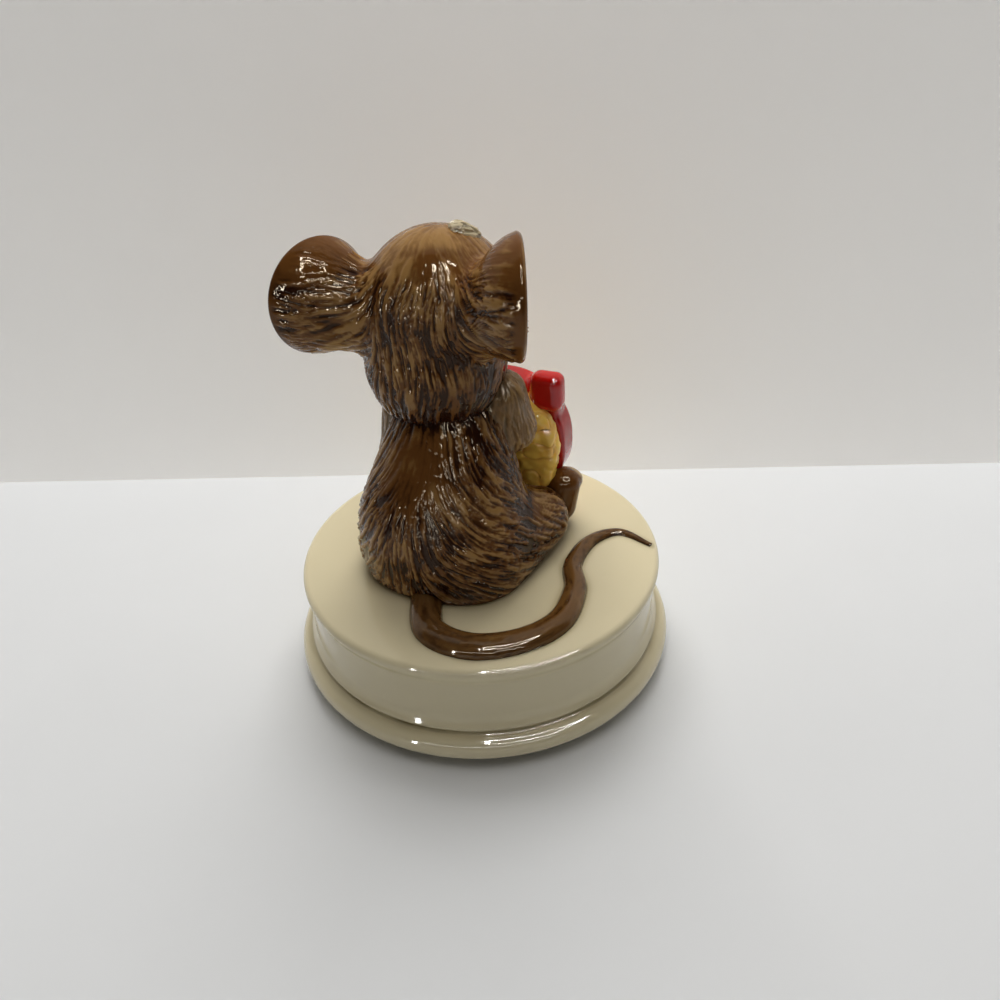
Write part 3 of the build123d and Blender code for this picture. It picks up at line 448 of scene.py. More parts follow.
def skin(name, grid, ring=False):
    """A mesh of triangles over a grid that closes across its columns.

    Its rows close too in a ring, and otherwise its first and last rows are one point each. The
    enclosed volume's sign tells whether the triangles face outward, and turns them if not.
    """
    index = np.arange(grid.shape[0] * grid.shape[1]).reshape(grid.shape[:2])
    if not ring:
        index[0], index[-1] = index[0, 0], index[-1, 0]
    upper = index if ring else index[:-1]
    lower = np.roll(index, -1, axis=0)[: len(upper)]
    upper_next, lower_next = np.roll(upper, -1, axis=1), np.roll(lower, -1, axis=1)
    triangles = np.concatenate([
        np.stack([upper, lower, lower_next], axis=-1).reshape(-1, 3),
        np.stack([upper, lower_next, upper_next], axis=-1).reshape(-1, 3),
    ])
    a, b, c = triangles.transpose()
    triangles = triangles[(a != b) & (b != c) & (a != c)]
    a, b, c = grid.reshape(-1, 3)[triangles].transpose(1, 0, 2)
    if (a * np.cross(b, c)).sum() < 0:
        triangles = triangles[:, ::-1]
    used, triangles = np.unique(triangles, return_inverse=True)
    mesh = bpy.data.meshes.new(name)
    mesh.vertices.add(len(used))
    mesh.vertices.foreach_set("co", grid.reshape(-1, 3)[used].astype(np.float32).ravel())
    mesh.loops.add(triangles.size)
    mesh.loops.foreach_set("vertex_index", triangles.astype(np.int32).ravel())
    mesh.polygons.add(triangles.size // 3)
    mesh.polygons.foreach_set("loop_start", np.arange(0, triangles.size, 3, dtype=np.int32))
    mesh.update(calc_edges=True)
    mesh.shade_smooth()
    return linked(name, mesh)


def linked(name, data):
    """An object in the scene."""
    made = bpy.data.objects.new(name, data)
    bpy.context.scene.collection.objects.link(made)
    return made


def surface(piece):
    """A piece's points and its normals there, as arrays."""
    found = []
    for source, name in ((piece.data.vertices, "co"), (piece.data.vertex_normals, "vector")):
        flat = np.empty(len(source) * 3, np.float32)
        source.foreach_get(name, flat)
        found.append(flat.reshape(-1, 3).astype(float))
    return found


def raise_points(piece, heights):
    """Moves a piece's points along their normals."""
    points, normals = surface(piece)
    moved = points + normals * heights[:, None]
    piece.data.vertices.foreach_set("co", moved.astype(np.float32).ravel())
    piece.data.update()


def paint(piece, stroke, pool_and_shade=0, paler=0):
    """Stores what a glaze follows on a piece's points: stroke height, darkening by pooled glaze and painted
    shade, and paleness.
    """
    for name, value in (("stroke", stroke), ("pool_and_shade", pool_and_shade), ("paler", paler)):
        layer = piece.data.attributes.new(name, "FLOAT", "POINT")
        layer.data.foreach_set("value", np.broadcast_to(value, len(layer.data)).astype(np.float32))


def settle(piece, slot, material, *nodes, body="figurine"):
    """Finishes a piece: its material, its body, and the hiding of the nodes that it stands for. The slot is
    not used.
    """
    piece.data.materials.append(material)
    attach(piece, body)
    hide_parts(*nodes)


# The mouse's forms

def torso_form(points):
    """Pear: the seat and the chest."""
    radius = mouse_sizes().torso_radius
    seat_ball, chest = body_point(torso_place_shares), body_point(chest_place_shares)
    return swelling(points, seat_ball, chest, radius, radius * chest_radius_share)


def haunch_form(points, hand):
    """Haunch from hip to knee."""
    radius = mouse_sizes().torso_radius
    hip, knee = limb_point(hip_place_shares, hand), limb_point(knee_place_shares, hand)
    return swelling(points, hip, knee, radius * hip_radius_share, radius * knee_radius_share)


def body_form(points):
    """The torso running softly into both haunches."""
    form = torso_form(points)
    for hand, inset in ((-1, 0.3 * MM), (1, 1.2 * MM)):
        form = merged(form, haunch_form(points, hand) + inset, 3.5 * MM)
    return form


def arm_form(points, hand):
    """Arm bent at the elbow, with a fillet onto the body, ended a little way inside it."""
    shoulder, elbow, wrist = (body_point(shares) for shares in arm_place_shares[hand])
    radii = mouse_sizes().torso_radius * np.array(arm_radius_shares)
    upper, fore = swelling(points, shoulder, elbow, *radii[:2]), swelling(points, elbow, wrist, *radii[1:])
    body = body_form(points)
    return np.maximum(merged(merged(upper, fore, 2 * MM), body + 0.5 * MM, 2.5 * MM), -(body + 4 * MM))


def foot_form(points, hand):
    """Foot from heel to toes, the toes in three lobes."""
    radius = mouse_sizes().torso_radius
    heel, toe = limb_point(heel_place_shares, hand), limb_point(toe_place_shares, hand)
    form = swelling(points, heel, toe, radius * heel_radius_share, radius * toe_radius_share)
    for lobe in (-1, 0, 1):
        tip = toe + radius * np.array([lobe * 0.09, -0.13, 0.04 - 0.03 * abs(lobe)])
        form = merged(form, ball(points, tip, radius * 0.10), 1.5 * MM)
    return form


def ear_ball(hand):
    """Centre and radius of the ball whose slice is an ear's back."""
    rim, depth = mouse_sizes().ear_radius, mouse_sizes().ear_depth
    radius = (rim**2 + depth**2) / (2 * depth)
    centre, axes = ear_frame(hand)
    return centre + axes[:, 1] * (radius - depth), radius


def skull_form(points):
    """Skull, jowls, brow, cheeks and muzzle."""
    radius = mouse_sizes().skull_radius
    jowls = head_point(jowl_place_shares)
    form = swelling(points, head_origin(), jowls, radius, radius * jowl_radius_share)
    form = merged(form, ball(points, head_point((0.14, 0.08, -0.82)), 0.93 * radius), 2 * MM)
    muzzle, tip = head_point((0, -0.55, -0.50)), head_point((0, -1.40, -0.62))
    form = merged(form, swelling(points, muzzle, tip, 0.56 * radius, 0.30 * radius), 5 * MM)
    for hand in (-1, 1):
        form = merged(form, ball(points, head_point((hand * 0.36, -0.82, -0.70)), 0.34 * radius), 4 * MM)
        lip = ball(points, head_point((hand * 0.15, -1.36, -0.76)), 0.185 * radius)
        form = merged(form, lip, 1.5 * MM)
    return merged(form, ball(points, head_point((0, -1.14, -0.98)), 0.2 * radius), 2.5 * MM)


def eye_places():
    """Centres of the two eyes."""
    return [head_point((hand * 0.46, -0.86, 0.05)) for hand in (-1, 1)]


def head_form(points):
    """The skull with its eye sockets and the roots of both ears, which end inside the ears."""
    radius = mouse_sizes().skull_radius
    form = skull_form(points)
    for place in eye_places():
        form = -merged(-form, ball(points, place + 0.4 * MM, 0.15 * radius), 2 * MM)
    fall = np.array([0, 0, -3.0 * MM])
    for hand in (-1, 1):
        near, far = (head_point(part * np.array(ear_place_shares[hand])) for part in (0.50, 0.88))
        form = merged(form, swelling(points, near + fall, far + 0.8 * fall, 9.4 * MM, 9.2 * MM), 4.5 * MM)
        centre, axes = ear_frame(hand)
        back = ball(points, *ear_ball(hand))
        behind_rim = np.maximum(back, (points - centre) @ axes[:, 1] + 0.8 * MM)
        form = np.maximum(merged(form, behind_rim + 0.15 * MM, 4 * MM), -(back + 1.8 * MM))
    return form


def creases(points, *forms, width):
    """How close points lie to other forms, 1 at their skin and falling away. It marks where pooled glaze and
    painted shade darken parts where they meet.
    """
    return np.max([falling(np.abs(form(points)), width) for form in forms], axis=0)


def furred(piece, flow, depth_shares, seed):
    """Carves fur strokes into a piece. Gives its points and the strokes' height, 0 in a groove.

    Where the strokes fade out the height comes to a level of its own.
    """
    sizes, level = mouse_sizes(), 0.62
    width, reach = sizes.stroke_width, sizes.stroke_length
    points, normals = surface(piece)
    broad = combed(points, normals, flow, width, reach, tables[seed])
    fine = combed(points, normals, flow, 0.5 * width, 0.7 * reach, tables[2 + seed])
    strokes = fade(broad + 0.65 * fine, -1.9, 1.9)
    raise_points(piece, (strokes - 0.5) * sizes.stroke_depth * depth_shares)
    return points, level + (strokes - level) * np.minimum(depth_shares, 1)


def body_flow(points):
    """Down from the neck, spreading to both sides and forward over the haunches."""
    local = (points - seat()) / mouse_sizes().torso_radius
    side, up = local[:, 0] - 0.10, local[:, 2]
    spread = 1.25 * np.sign(side) * fade(np.abs(side), 0, 0.7) * fade(up, 1.9, 1.0)
    forward = -1.1 * fade(np.abs(side), 0.55, 1.1)
    return np.stack([spread, forward, -np.ones(len(up))], axis=-1)


def head_flow(points):
    """Down and back from the crown, bending out along the ears where these begin."""
    side, back, up = in_head(points)
    fall = np.stack([0.55 * (side + 0.22), 0.25 + 0 * up, -1.0 + 0 * up], axis=-1)
    outward = np.stack([np.sign(side), 0.1 + 0 * up, -0.18 + 0.25 * up], axis=-1)
    at_ear = fade(np.abs(side + 0.05), 0.50, 1.0) * fade(up, -0.95, -0.45)
    heading = fall + (1.6 * outward - fall) * at_ear[:, None]
    muzzle = fade(back, -0.75, -1.05)[:, None]
    return (heading + (np.array([0, 1.0, -0.2]) - heading) * muzzle) @ head_axes().T


def ear_flow(points):
    """Out from the skull to the ear's rim."""
    return unit(points - head_origin()) + np.array([0, 0, -0.12])


def arm_flow(points):
    """Down and a little forward."""
    return np.broadcast_to(np.array([0.0, -0.25, -1.0]), points.shape)


# Shader nodes

def joint(tree, value, socket):
    """Puts a constant on a socket, or links another socket to it."""
    if isinstance(value, bpy.types.NodeSocket):
        tree.links.new(value, socket)
    else:
        socket.default_value = (*value, 1) if socket.type == "RGBA" else value


def add(tree, kind, inputs, **settings):
    """A node with its settings and inputs. Gives its outputs."""
    made = tree.nodes.new(kind)
    for name, value in settings.items():
        setattr(made, name, value)
    for name, value in inputs.items():
        joint(tree, value, made.inputs[name])
    return made.outputs


def noise(tree, scale, detail, stretch=(1, 1, 1)):
    """Noise on Object coordinates, from 0 to 1."""
    place = add(tree, "ShaderNodeTexCoord", {})["Object"]
    turned = add(tree, "ShaderNodeMapping", {"Vector": place, "Scale": stretch})[0]
    return add(tree, "ShaderNodeTexNoise", {"Vector": turned, "Scale": scale, "Detail": detail})[0]


def ranged(tree, value, low, high, to_low=0.0, to_high=1.0):
    """A value carried smoothly from one range to another."""
    ends = {"From Min": low, "From Max": high, "To Min": to_low, "To Max": to_high}
    return add(tree, "ShaderNodeMapRange", {"Value": value, **ends}, interpolation_type="SMOOTHSTEP")[0]


def calc(tree, operation, first, second):
    """Two values put through a Math node."""
    return add(tree, "ShaderNodeMath", {0: first, 1: second}, operation=operation)[0]


def mixed(tree, factor, first, second):
    """Two colours mixed."""
    return add(tree, "ShaderNodeMix", {0: factor, 6: first, 7: second}, data_type="RGBA")[2]


def bump(tree, height, strength, distance):
    """A height turned into a normal."""
    return add(tree, "ShaderNodeBump", {"Height": height, "Strength": strength, "Distance": distance})[0]


def depth_glaze(tree, wanted):
    """Glaze whose colour follows its depth: thin on ridges, pooled in grooves, and darkened in creases by
    pooled glaze and painted shade.
    """
    broad = ranged(tree, noise(tree, wanted["Mottle Scale"], 3.0), 0.3, 0.7, -1.0, 1.0)
    level = calc(tree, "ADD", wanted["Height"], calc(tree, "MULTIPLY", broad, wanted["Mottle"]))
    # Pooled glaze and painted shade together lower the level and pull the colour towards the pooled tone.
    drained = calc(tree, "SUBTRACT", level, wanted["Pool And Shade"])
    dark = mixed(tree, ranged(tree, drained, 0.05, 0.50), wanted["Pooled"], wanted["Middle"])
    tone = mixed(tree, ranged(tree, drained, 0.55, 1.05), dark, wanted["Thin"])
    return {"Color": tone, "Roughness": ranged(tree, noise(tree, 2600.0, 1.0), 0.3, 0.7, 0.035, 0.08)}


def glaze_ripple(tree, wanted):
    """The faint waviness of fired glaze, as a normal."""
    wave = noise(tree, wanted["Scale"], 2.0)
    return {"Normal": bump(tree, wave, wanted["Strength"], wanted["Distance"])}


def drawn_metal(tree, wanted):
    """Metal with fine tool lines and dull patches."""
    patches = noise(tree, 60.0, 3.0)
    grain = noise(tree, wanted["Grain Scale"], 2.0, (0.06, 1.0, 1.0))
    dull = ranged(tree, patches, 0.2, 0.8, -0.08, 0.12)
    stained = ranged(tree, patches, 0.3, 0.75, 0.0, 0.45)
    return {
        "Color": mixed(tree, stained, wanted["Tone"], (0.12, 0.10, 0.08)),
        "Roughness": calc(tree, "ADD", dull, wanted["Dullness"]),
        "Normal": bump(tree, grain, 0.15, 0.1 * MM),
    }


# Each shared effect with its inputs and their defaults
effects = {
    "Depth Glaze": (depth_glaze, {
        "Thin": (1.0, 1.0, 1.0), "Middle": (0.5, 0.5, 0.5), "Pooled": (0.0, 0.0, 0.0),
        "Height": 0.5, "Pool And Shade": 0.0, "Mottle": 0.25, "Mottle Scale": 90.0,
    }),
    "Glaze Ripple": (glaze_ripple, {"Scale": 220.0, "Strength": 0.12, "Distance": 0.4 * MM}),
    "Drawn Metal": (drawn_metal, {"Tone": (0.5, 0.5, 0.5), "Grain Scale": 900.0, "Dullness": 0.3}),
}
output_kinds = {"Color": "NodeSocketColor", "Roughness": "NodeSocketFloat", "Normal": "NodeSocketVector"}


def placed_effect(tree, name, values):
    """A shared shader group, built at its first use, placed in a material with its own values."""
    if name not in bpy.data.node_groups:
        build, defaults = effects[name]
        made = bpy.data.node_groups.new(name, "ShaderNodeTree")
        for label, default in defaults.items():
            kind = "NodeSocketColor" if isinstance(default, tuple) else "NodeSocketFloat"
            socket = made.interface.new_socket(label, in_out="INPUT", socket_type=kind)
            socket.default_value = (*default, 1) if isinstance(default, tuple) else default
        found = build(made, made.nodes.new("NodeGroupInput").outputs)
        for label in found:
            made.interface.new_socket(label, in_out="OUTPUT", socket_type=output_kinds[label])
        end = made.nodes.new("NodeGroupOutput")
        for label, value in found.items():
            joint(made, value, end.inputs[label])
    return add(tree, "ShaderNodeGroup", values, node_tree=bpy.data.node_groups[name])


def blank(name):
    """A new material with its tree and its Principled shader."""
    material = bpy.data.materials.new(name)
    material.use_nodes = True
    return material, material.node_tree, material.node_tree.nodes["Principled BSDF"]


def blend(first, part, second=(0, 0, 0), other=0.0):
    """A part of one colour and a part of another."""
    return tuple(min(1.0, part * a + other * b) for a, b in zip(first, second))


def glaze(name):
    """Glossy coloured glaze over carved ware, made at its first use.

    A recipe gives its colour where it runs thin, at its middle depth and where it pools, how much
    and how finely it is mottled, its ripple, its gloss and the tone of what it mirrors.
    """
    if name in bpy.data.materials:
        return bpy.data.materials[name]
    tone, clear = bpy.context.scene.glaze_colours, (1.0, 1.0, 1.0)
    # The cream's middle tone is reached both by the groove's stain and by the drum's painted shade.
    stained = blend(tone.cream, 0.62, tone.olive, 0.38)
    tail = blend(tone.brown, 0.7, tone.olive, 0.12)
    fur_gloss, tail_gloss = (1.0, 0.85, 0.64), (1.0, 0.9, 0.75)
    recipes = {
        "cream_glaze_ware": (tone.cream, stained, tone.olive, 0.05, 35.0, 0.05, 0.4, clear),
        "brown_fur_glaze": (tone.ridge, tone.brown, tone.groove, 0.22, 95.0, 0.10, 0.25, fur_gloss),
        "tail_glaze_ware": (tone.ridge, tail, tone.groove, 0.12, 60.0, 0.12, 0.5, tail_gloss),
        "ear_blush_glaze": (tone.blush, tone.belly, tone.brown, 0.12, 60.0, 0.10, 0.5, clear),
        "black_gloss_glaze": (blend(tone.black, 2.2), tone.black, tone.black, 0.1, 90.0, 0.02, 0.5, clear),
        "straw_tuft_glaze": (tone.straw, blend(tone.straw, 0.6), tone.brown, 0.15, 90.0, 0.10, 0.5, clear),
        "golden_cheese_glaze": (
            blend(tone.cheese, 1.15), tone.cheese, tone.toffee, 0.3, 150.0, 0.10, 0.5, clear,
        ),
        "red_wax_glaze": (
            tone.wax, blend(tone.wax, 0.6), blend(tone.wax, 0.15), 0.08, 50.0, 0.06, 0.5, clear,
        ),
    }
    thin, middle, pooled, mottle, scale, ripple, gloss, mirrored_tone = recipes[name]
    material, tree, shader = blank(name)
    stroke, pool_and_shade, paler = (
        add(tree, "ShaderNodeAttribute", {}, attribute_name=stored)["Fac"]
        for stored in ("stroke", "pool_and_shade", "paler")
    )
    depth = placed_effect(tree, "Depth Glaze", {
        "Thin": thin, "Middle": middle, "Pooled": pooled,
        "Height": stroke, "Pool And Shade": pool_and_shade, "Mottle": mottle, "Mottle Scale": scale,
    })
    joint(tree, mixed(tree, paler, depth["Color"], tone.belly), shader.inputs["Base Color"])
    joint(tree, depth["Roughness"], shader.inputs["Roughness"])
    waves = placed_effect(tree, "Glaze Ripple", {"Strength": ripple})
    joint(tree, waves["Normal"], shader.inputs["Normal"])
    shader.inputs["Specular IOR Level"].default_value = gloss
    shader.inputs["Specular Tint"].default_value = (*mirrored_tone, 1)
    return material


def metal(name, tone, dullness, grain=900.0):
    """Metal of the movement."""
    material, tree, shader = blank(name)
    made = placed_effect(tree, "Drawn Metal", {"Tone": tone, "Dullness": dullness, "Grain Scale": grain})
    for label, socket in (("Color", "Base Color"), ("Roughness", "Roughness"), ("Normal", "Normal")):
        joint(tree, made[label], shader.inputs[socket])
    shader.inputs["Metallic"].default_value = 1.0
    return material


def moulded(name, tone, rough_low, rough_high, scale):
    """Moulded plastic or rubber with a fine uneven skin."""
    material, tree, shader = blank(name)
    grain = noise(tree, scale, 3.0)
    worn = tuple(1.7 * part + 0.01 for part in tone)
    joint(tree, mixed(tree, ranged(tree, grain, 0.35, 0.8), tone, worn), shader.inputs["Base Color"])
    joint(tree, ranged(tree, grain, 0.2, 0.8, rough_low, rough_high), shader.inputs["Roughness"])
    joint(tree, bump(tree, grain, 0.2, 0.1 * MM), shader.inputs["Normal"])
    return material


# Drum and tail

def arc(centre, radius, start, stop, count):
    """Points on an arc, as radii and heights, by angle in degrees."""
    turn = np.radians(np.linspace(start, stop, count))[:, None]
    return np.array(centre) + radius * np.concatenate([np.cos(turn), np.sin(turn)], axis=1)


def runs(*stops):
    """Points on straight runs, from stops of radius, height and steps up to there, without the first."""
    parts = []
    for first, last in zip(stops, stops[1:]):
        part = np.linspace(0, 1, last[2] + 1)[1:, None]
        parts.append(np.array(first[:2]) * (1 - part) + np.array(last[:2]) * part)
    return np.concatenate(parts)


def drum_profile(sizes):
    """Radii and heights from the top's centre, over the lip, down to the bead and up inside."""
    top, bottom, wall, rounding = sizes.top, sizes.bottom, sizes.wall_radius, sizes.lip_rounding
    lip_centre = (wall + sizes.lip_overhang - rounding, top - rounding)
    bead_inner, bead_top = sizes.bead_radius - sizes.bead_size, bottom + 2 * sizes.bead_size
    foot_level = bead_top + 2 * sizes.groove_drop
    cavity, ceiling = wall - sizes.wall, top - sizes.wall
    rebate = cavity + sizes.ledge
    under = np.linspace(1, 0, 17)[:-1, None]
    under_lip = [wall + sizes.lip_overhang * fade(under, 0, 1), lip_centre[1] - sizes.lip_cove * (1 - under)]
    cove = np.linspace(1, 0, 14)[:-1, None]
    flare = [wall + sizes.foot_flare * (1 - cove) ** 2.2, foot_level + sizes.foot_cove * cove]
    return np.concatenate([
        [[0.0, top]],
        runs((0, top), (lip_centre[0], top, 95)),
        arc(lip_centre, rounding, 90, 0, 14)[1:],
        np.concatenate(under_lip, axis=1),
        runs((wall, lip_centre[1] - sizes.lip_cove), (wall, foot_level + sizes.foot_cove, 12)),
        np.concatenate(flare, axis=1),
        runs(
            (wall + sizes.foot_flare, foot_level),
            (bead_inner - sizes.groove_drop, bead_top + sizes.groove_drop, 4), (bead_inner, bead_top, 4),
        ),
        arc((bead_inner, bottom + sizes.bead_size), sizes.bead_size, 90, -90, 30)[1:],
        runs(
            (bead_inner, bottom), (rebate, bottom, 5), (rebate, sizes.plate_level, 4),
            (cavity, sizes.plate_level, 2), (cavity, ceiling, 8), (0, ceiling, 12),
        ),
    ])


def tail_line(count):
    """The tail's centre line on the drum's top, its heading and its taper.

    Each span is the cubic whose ends head towards the points on either side.
    """
    knots = (drum_sizes().wall_radius + drum_sizes().lip_overhang) * np.array(tail_path_shares)
    knots = np.concatenate([[2 * knots[0] - knots[1]], knots, [2 * knots[-1] - knots[-2]]])
    place = np.linspace(0, len(tail_path_shares) - 1, count)
    span = np.minimum(place.astype(int), len(tail_path_shares) - 2)
    t = (place - span)[:, None]
    before, first, second, after = (knots[span + k] for k in range(4))
    flat = 0.5 * (
        2 * first + (second - before) * t
        + (2 * before - 5 * first + 4 * second - after) * t**2
        + (3 * first - before - 3 * second + after) * t**3
    )
    taper = 1 - (1 - tail_tip_share) * np.linspace(0, 1, count) ** 2
    return flat, unit(np.gradient(flat, axis=0)), taper


def tail_gap(points):
    """How far points lie from the tail's edge, seen from above."""
    flat, _, taper = tail_line(120)
    gap = np.full(len(points), 1.0)
    for place, width in zip(flat, mouse_sizes().tail_width / 2 * taper):
        gap = np.minimum(gap, np.hypot(points[:, 0] - place[0], points[:, 1] - place[1]) - width)
    return gap


class FIGURINE_OT_drum(Operator):
    """Slip-cast drum with its bead, groove, coved wall and rounded lip"""

    bl_idname = "figurine.drum"
    bl_label = "Drum"

    def execute(self, context):
        sizes = drum_sizes()
        piece = skin("drum", lathe(drum_profile(sizes), 420))
        points, _ = surface(piece)
        level, wall = points[:, 2], sizes.wall_radius
        outside = fade(np.hypot(points[:, 0], points[:, 1]), wall - 1 * MM, wall)
        groove = hill(level - (sizes.bottom + 2 * sizes.bead_size + sizes.groove_drop), 0.9 * MM)
        # Painted shade under the lip's overhang.
        under_lip = hill(level - sizes.top + sizes.lip_cove, 1.1 * MM)
        top = fade(level, sizes.top - 0.3 * MM, sizes.top - 0.05 * MM)
        mouse = np.minimum(body_form(points), np.minimum(foot_form(points, 1), foot_form(points, -1)))
        # Darker on the top beside the mouse and along the tail: brown glaze run onto the cream, and painted
        # contact shade.
        contact_stain_and_shade = 0.75 * falling(mouse, 1.6 * MM) + 0.85 * falling(tail_gap(points), 0.7 * MM)
        # Painted shade on the bead's underside, where it meets the table.
        foot = fade(level, sizes.bottom + 1.5 * MM, sizes.bottom)
        pool_and_shade = (0.95 * groove + 0.16 * under_lip) * outside + top * contact_stain_and_shade + 0.2 * foot
        pool_and_shade = pool_and_shade * (0.75 + 0.5 * lattice_noise(points / (7 * MM), tables[0]))
        paint(piece, 1.0 + 0.06 * lattice_noise(points / (11 * MM), tables[1]), np.clip(pool_and_shade, 0, 1.2))
        settle(piece, "cream_glaze", glaze("cream_glaze_ware"), "drum_base")
        return {"FINISHED"}


class FIGURINE_OT_tail(Operator):
    """Tail lying over the drum's top"""

    bl_idname = "figurine.tail"
    bl_label = "Tail"

    def execute(self, context):
        sizes, top = mouse_sizes(), drum_sizes().top
        flat, ahead, taper = tail_line(420)
        turn, size = turns(40), taper[:, None]
        wide = sizes.tail_width / 2 * size * np.cos(turn)
        high = np.abs(np.sin(turn))
        rise = sizes.tail_height * size * np.where(np.sin(turn) > 0, high**0.9, -0.18 * high)
        rise[0] = 0
        side, back = flat[:, :1] - ahead[:, 1:] * wide, flat[:, 1:] + ahead[:, :1] * wide
        grid = np.stack([side, back, top + rise], axis=-1)
        grid[0], grid[-1] = grid[0].mean(axis=0), grid[-1].mean(axis=0)
        piece = skin("tail_ridge", grid[:, ::-1])
        points, normals = surface(piece)
        near = np.linalg.norm(points[:, None, :2] - flat[None, ::6], axis=-1).argmin(axis=1) * 6
        heading = np.concatenate([ahead[near], np.zeros((len(near), 1))], axis=1)
        height = fade(combed(points, normals, lambda _: heading, 0.8 * MM, 9 * MM, tables[1]), -1.8, 1.8)
        raise_points(piece, (height - 0.5) * 0.12 * MM)
        # The tail's lowest millimetre is darker: painted contact shade along its edges on the drum, with
        # pooled glaze.
        paint(piece, 0.24 + 0.42 * height, 0.35 * fade(points[:, 2], top + 1.0 * MM, top))
        settle(piece, "tail_glaze", glaze("tail_glaze_ware"), "tail")
        return {"FINISHED"}


# Mouse

def smooth_patch(points, centre, reach):
    """1 far from a place and 0 at it."""
    return fade(np.linalg.norm(points - centre, axis=-1), 0.35 * reach, reach)


class FIGURINE_OT_body(Operator):
    """Pear-shaped body and both haunches, with carved fur"""

    bl_idname = "figurine.body"
    bl_label = "Body"

    def execute(self, context):
        radius, floor = mouse_sizes().torso_radius, drum_sizes().top
        grid = star_surface(body_form, body_point(core_place_shares), 232, 426, 2.4 * radius, back_way, 0.32)
        grid[..., 2] = np.maximum(grid[..., 2], floor - sunk)
        piece = skin("mouse_body", grid)
        points, _ = surface(piece)
        side, back, _ = ((points - seat()) / radius).T
        spine = smooth_patch(points, body_point((0.06, 0.62, 1.42)), 0.70 * radius)
        knee = smooth_patch(points, body_point((-0.80, -0.30, 0.75)), 0.40 * radius)
        front = fade(-back, 0.35, 0.75) * fade(np.abs(side), 0.75, 0.35)
        depth = 0.25 + 0.80 * np.minimum(spine, 0.4 + 0.6 * knee)
        depth = depth * fade(points[:, 2], floor, floor + 1.2 * MM) * (1 - 0.7 * front)
        points, height = furred(piece, body_flow, depth, 0)
        # Painted shade with pooled glaze in the neck crease under the head and in the seams to the haunches.
        pool_and_shade = creases(points, skull_form, width=1.2 * MM)
        for hand in (-1, 1):
            seam = torso_form(points) - haunch_form(points, hand)
            pool_and_shade = np.maximum(pool_and_shade, 0.8 * fade(-back, -0.35, 0.1) * hill(seam, 1.1 * MM))
        # Painted contact shade: darker in the last 2.5 mm above the drum's top.
        low = fade(points[:, 2], floor + 2.5 * MM, floor)
        paint(piece, height, 0.7 * pool_and_shade + 0.25 * low, 0.8 * front)
        nodes = ("mouse_torso", "left_thigh", "right_thigh")
        settle(piece, "brown_glaze", glaze("brown_fur_glaze"), *nodes)
        return {"FINISHED"}


class FIGURINE_OT_head(Operator):
    """Head with carved fur, muzzle and the roots of the ears"""

    bl_idname = "figurine.head"
    bl_label = "Head"

    def execute(self, context):
        reach = 2.4 * mouse_sizes().skull_radius
        grid = star_surface(head_form, head_point((0, -0.1, -0.35)), 232, 424, reach, back_way, 0.30)
        piece = skin("mouse_head_fur", grid)
        side, back, up = in_head(surface(piece)[0])
        crown = fade(up - 0.35 * back - 0.25 * np.abs(side + 0.2), 0.08, 0.36)
        jowl = hill(np.hypot(side + 0.75, up + 1.0), 0.4)
        face = fade(back, -0.95, -0.55)
        depth = (1.1 - 0.84 * crown - 0.6 * jowl) * (0.15 + 0.85 * face)
        points, height = furred(piece, head_flow, depth, 1)
        parting = hill(side + 0.62 + 0.25 * up, 0.09) * fade(up, 0.55, 0.2)
        parting = parting * fade(up, -0.75, -0.35) * fade(back, 0.1, 0.4)
        # Painted shade with pooled glaze along the neck where the head meets the torso, and painted shade
        # darkening the lower jowls.
        pool_and_shade = 0.8 * creases(points, torso_form, width=1.2 * MM) + 0.40 * fade(up, -0.45, -1.2) * face
        # The smooth crown gets 0.22 more stroke height and so a lighter tone: a painted sheen of the
        # overhead light.
        paint(piece, height + 0.22 * crown, pool_and_shade + 0.45 * parting, 0.85 * (1 - face))
        settle(piece, "brown_glaze", glaze("brown_fur_glaze"), "mouse_head")
        return {"FINISHED"}


def ear_profile(sizes):
    """Radii and heights of the ear: its back from the pole to the lip, and its dish back again."""
    shells = []
    for inset in (0, sizes.ear_wall):
        rim, depth = sizes.ear_radius - inset, sizes.ear_depth - inset
        radius = (rim**2 + depth**2) / (2 * depth)
        reach = np.degrees(np.arcsin(min(1.0, rim / radius)))
        shells.append(arc((0, radius - depth), radius, -90, -90 + reach, 60 if inset else 70))
    edge = sizes.ear_wall / 2
    lip = arc((sizes.ear_radius - edge, 0), edge, 0, 180, 16)[1:-1]
    return np.concatenate([shells[0], lip, shells[1][::-1]])


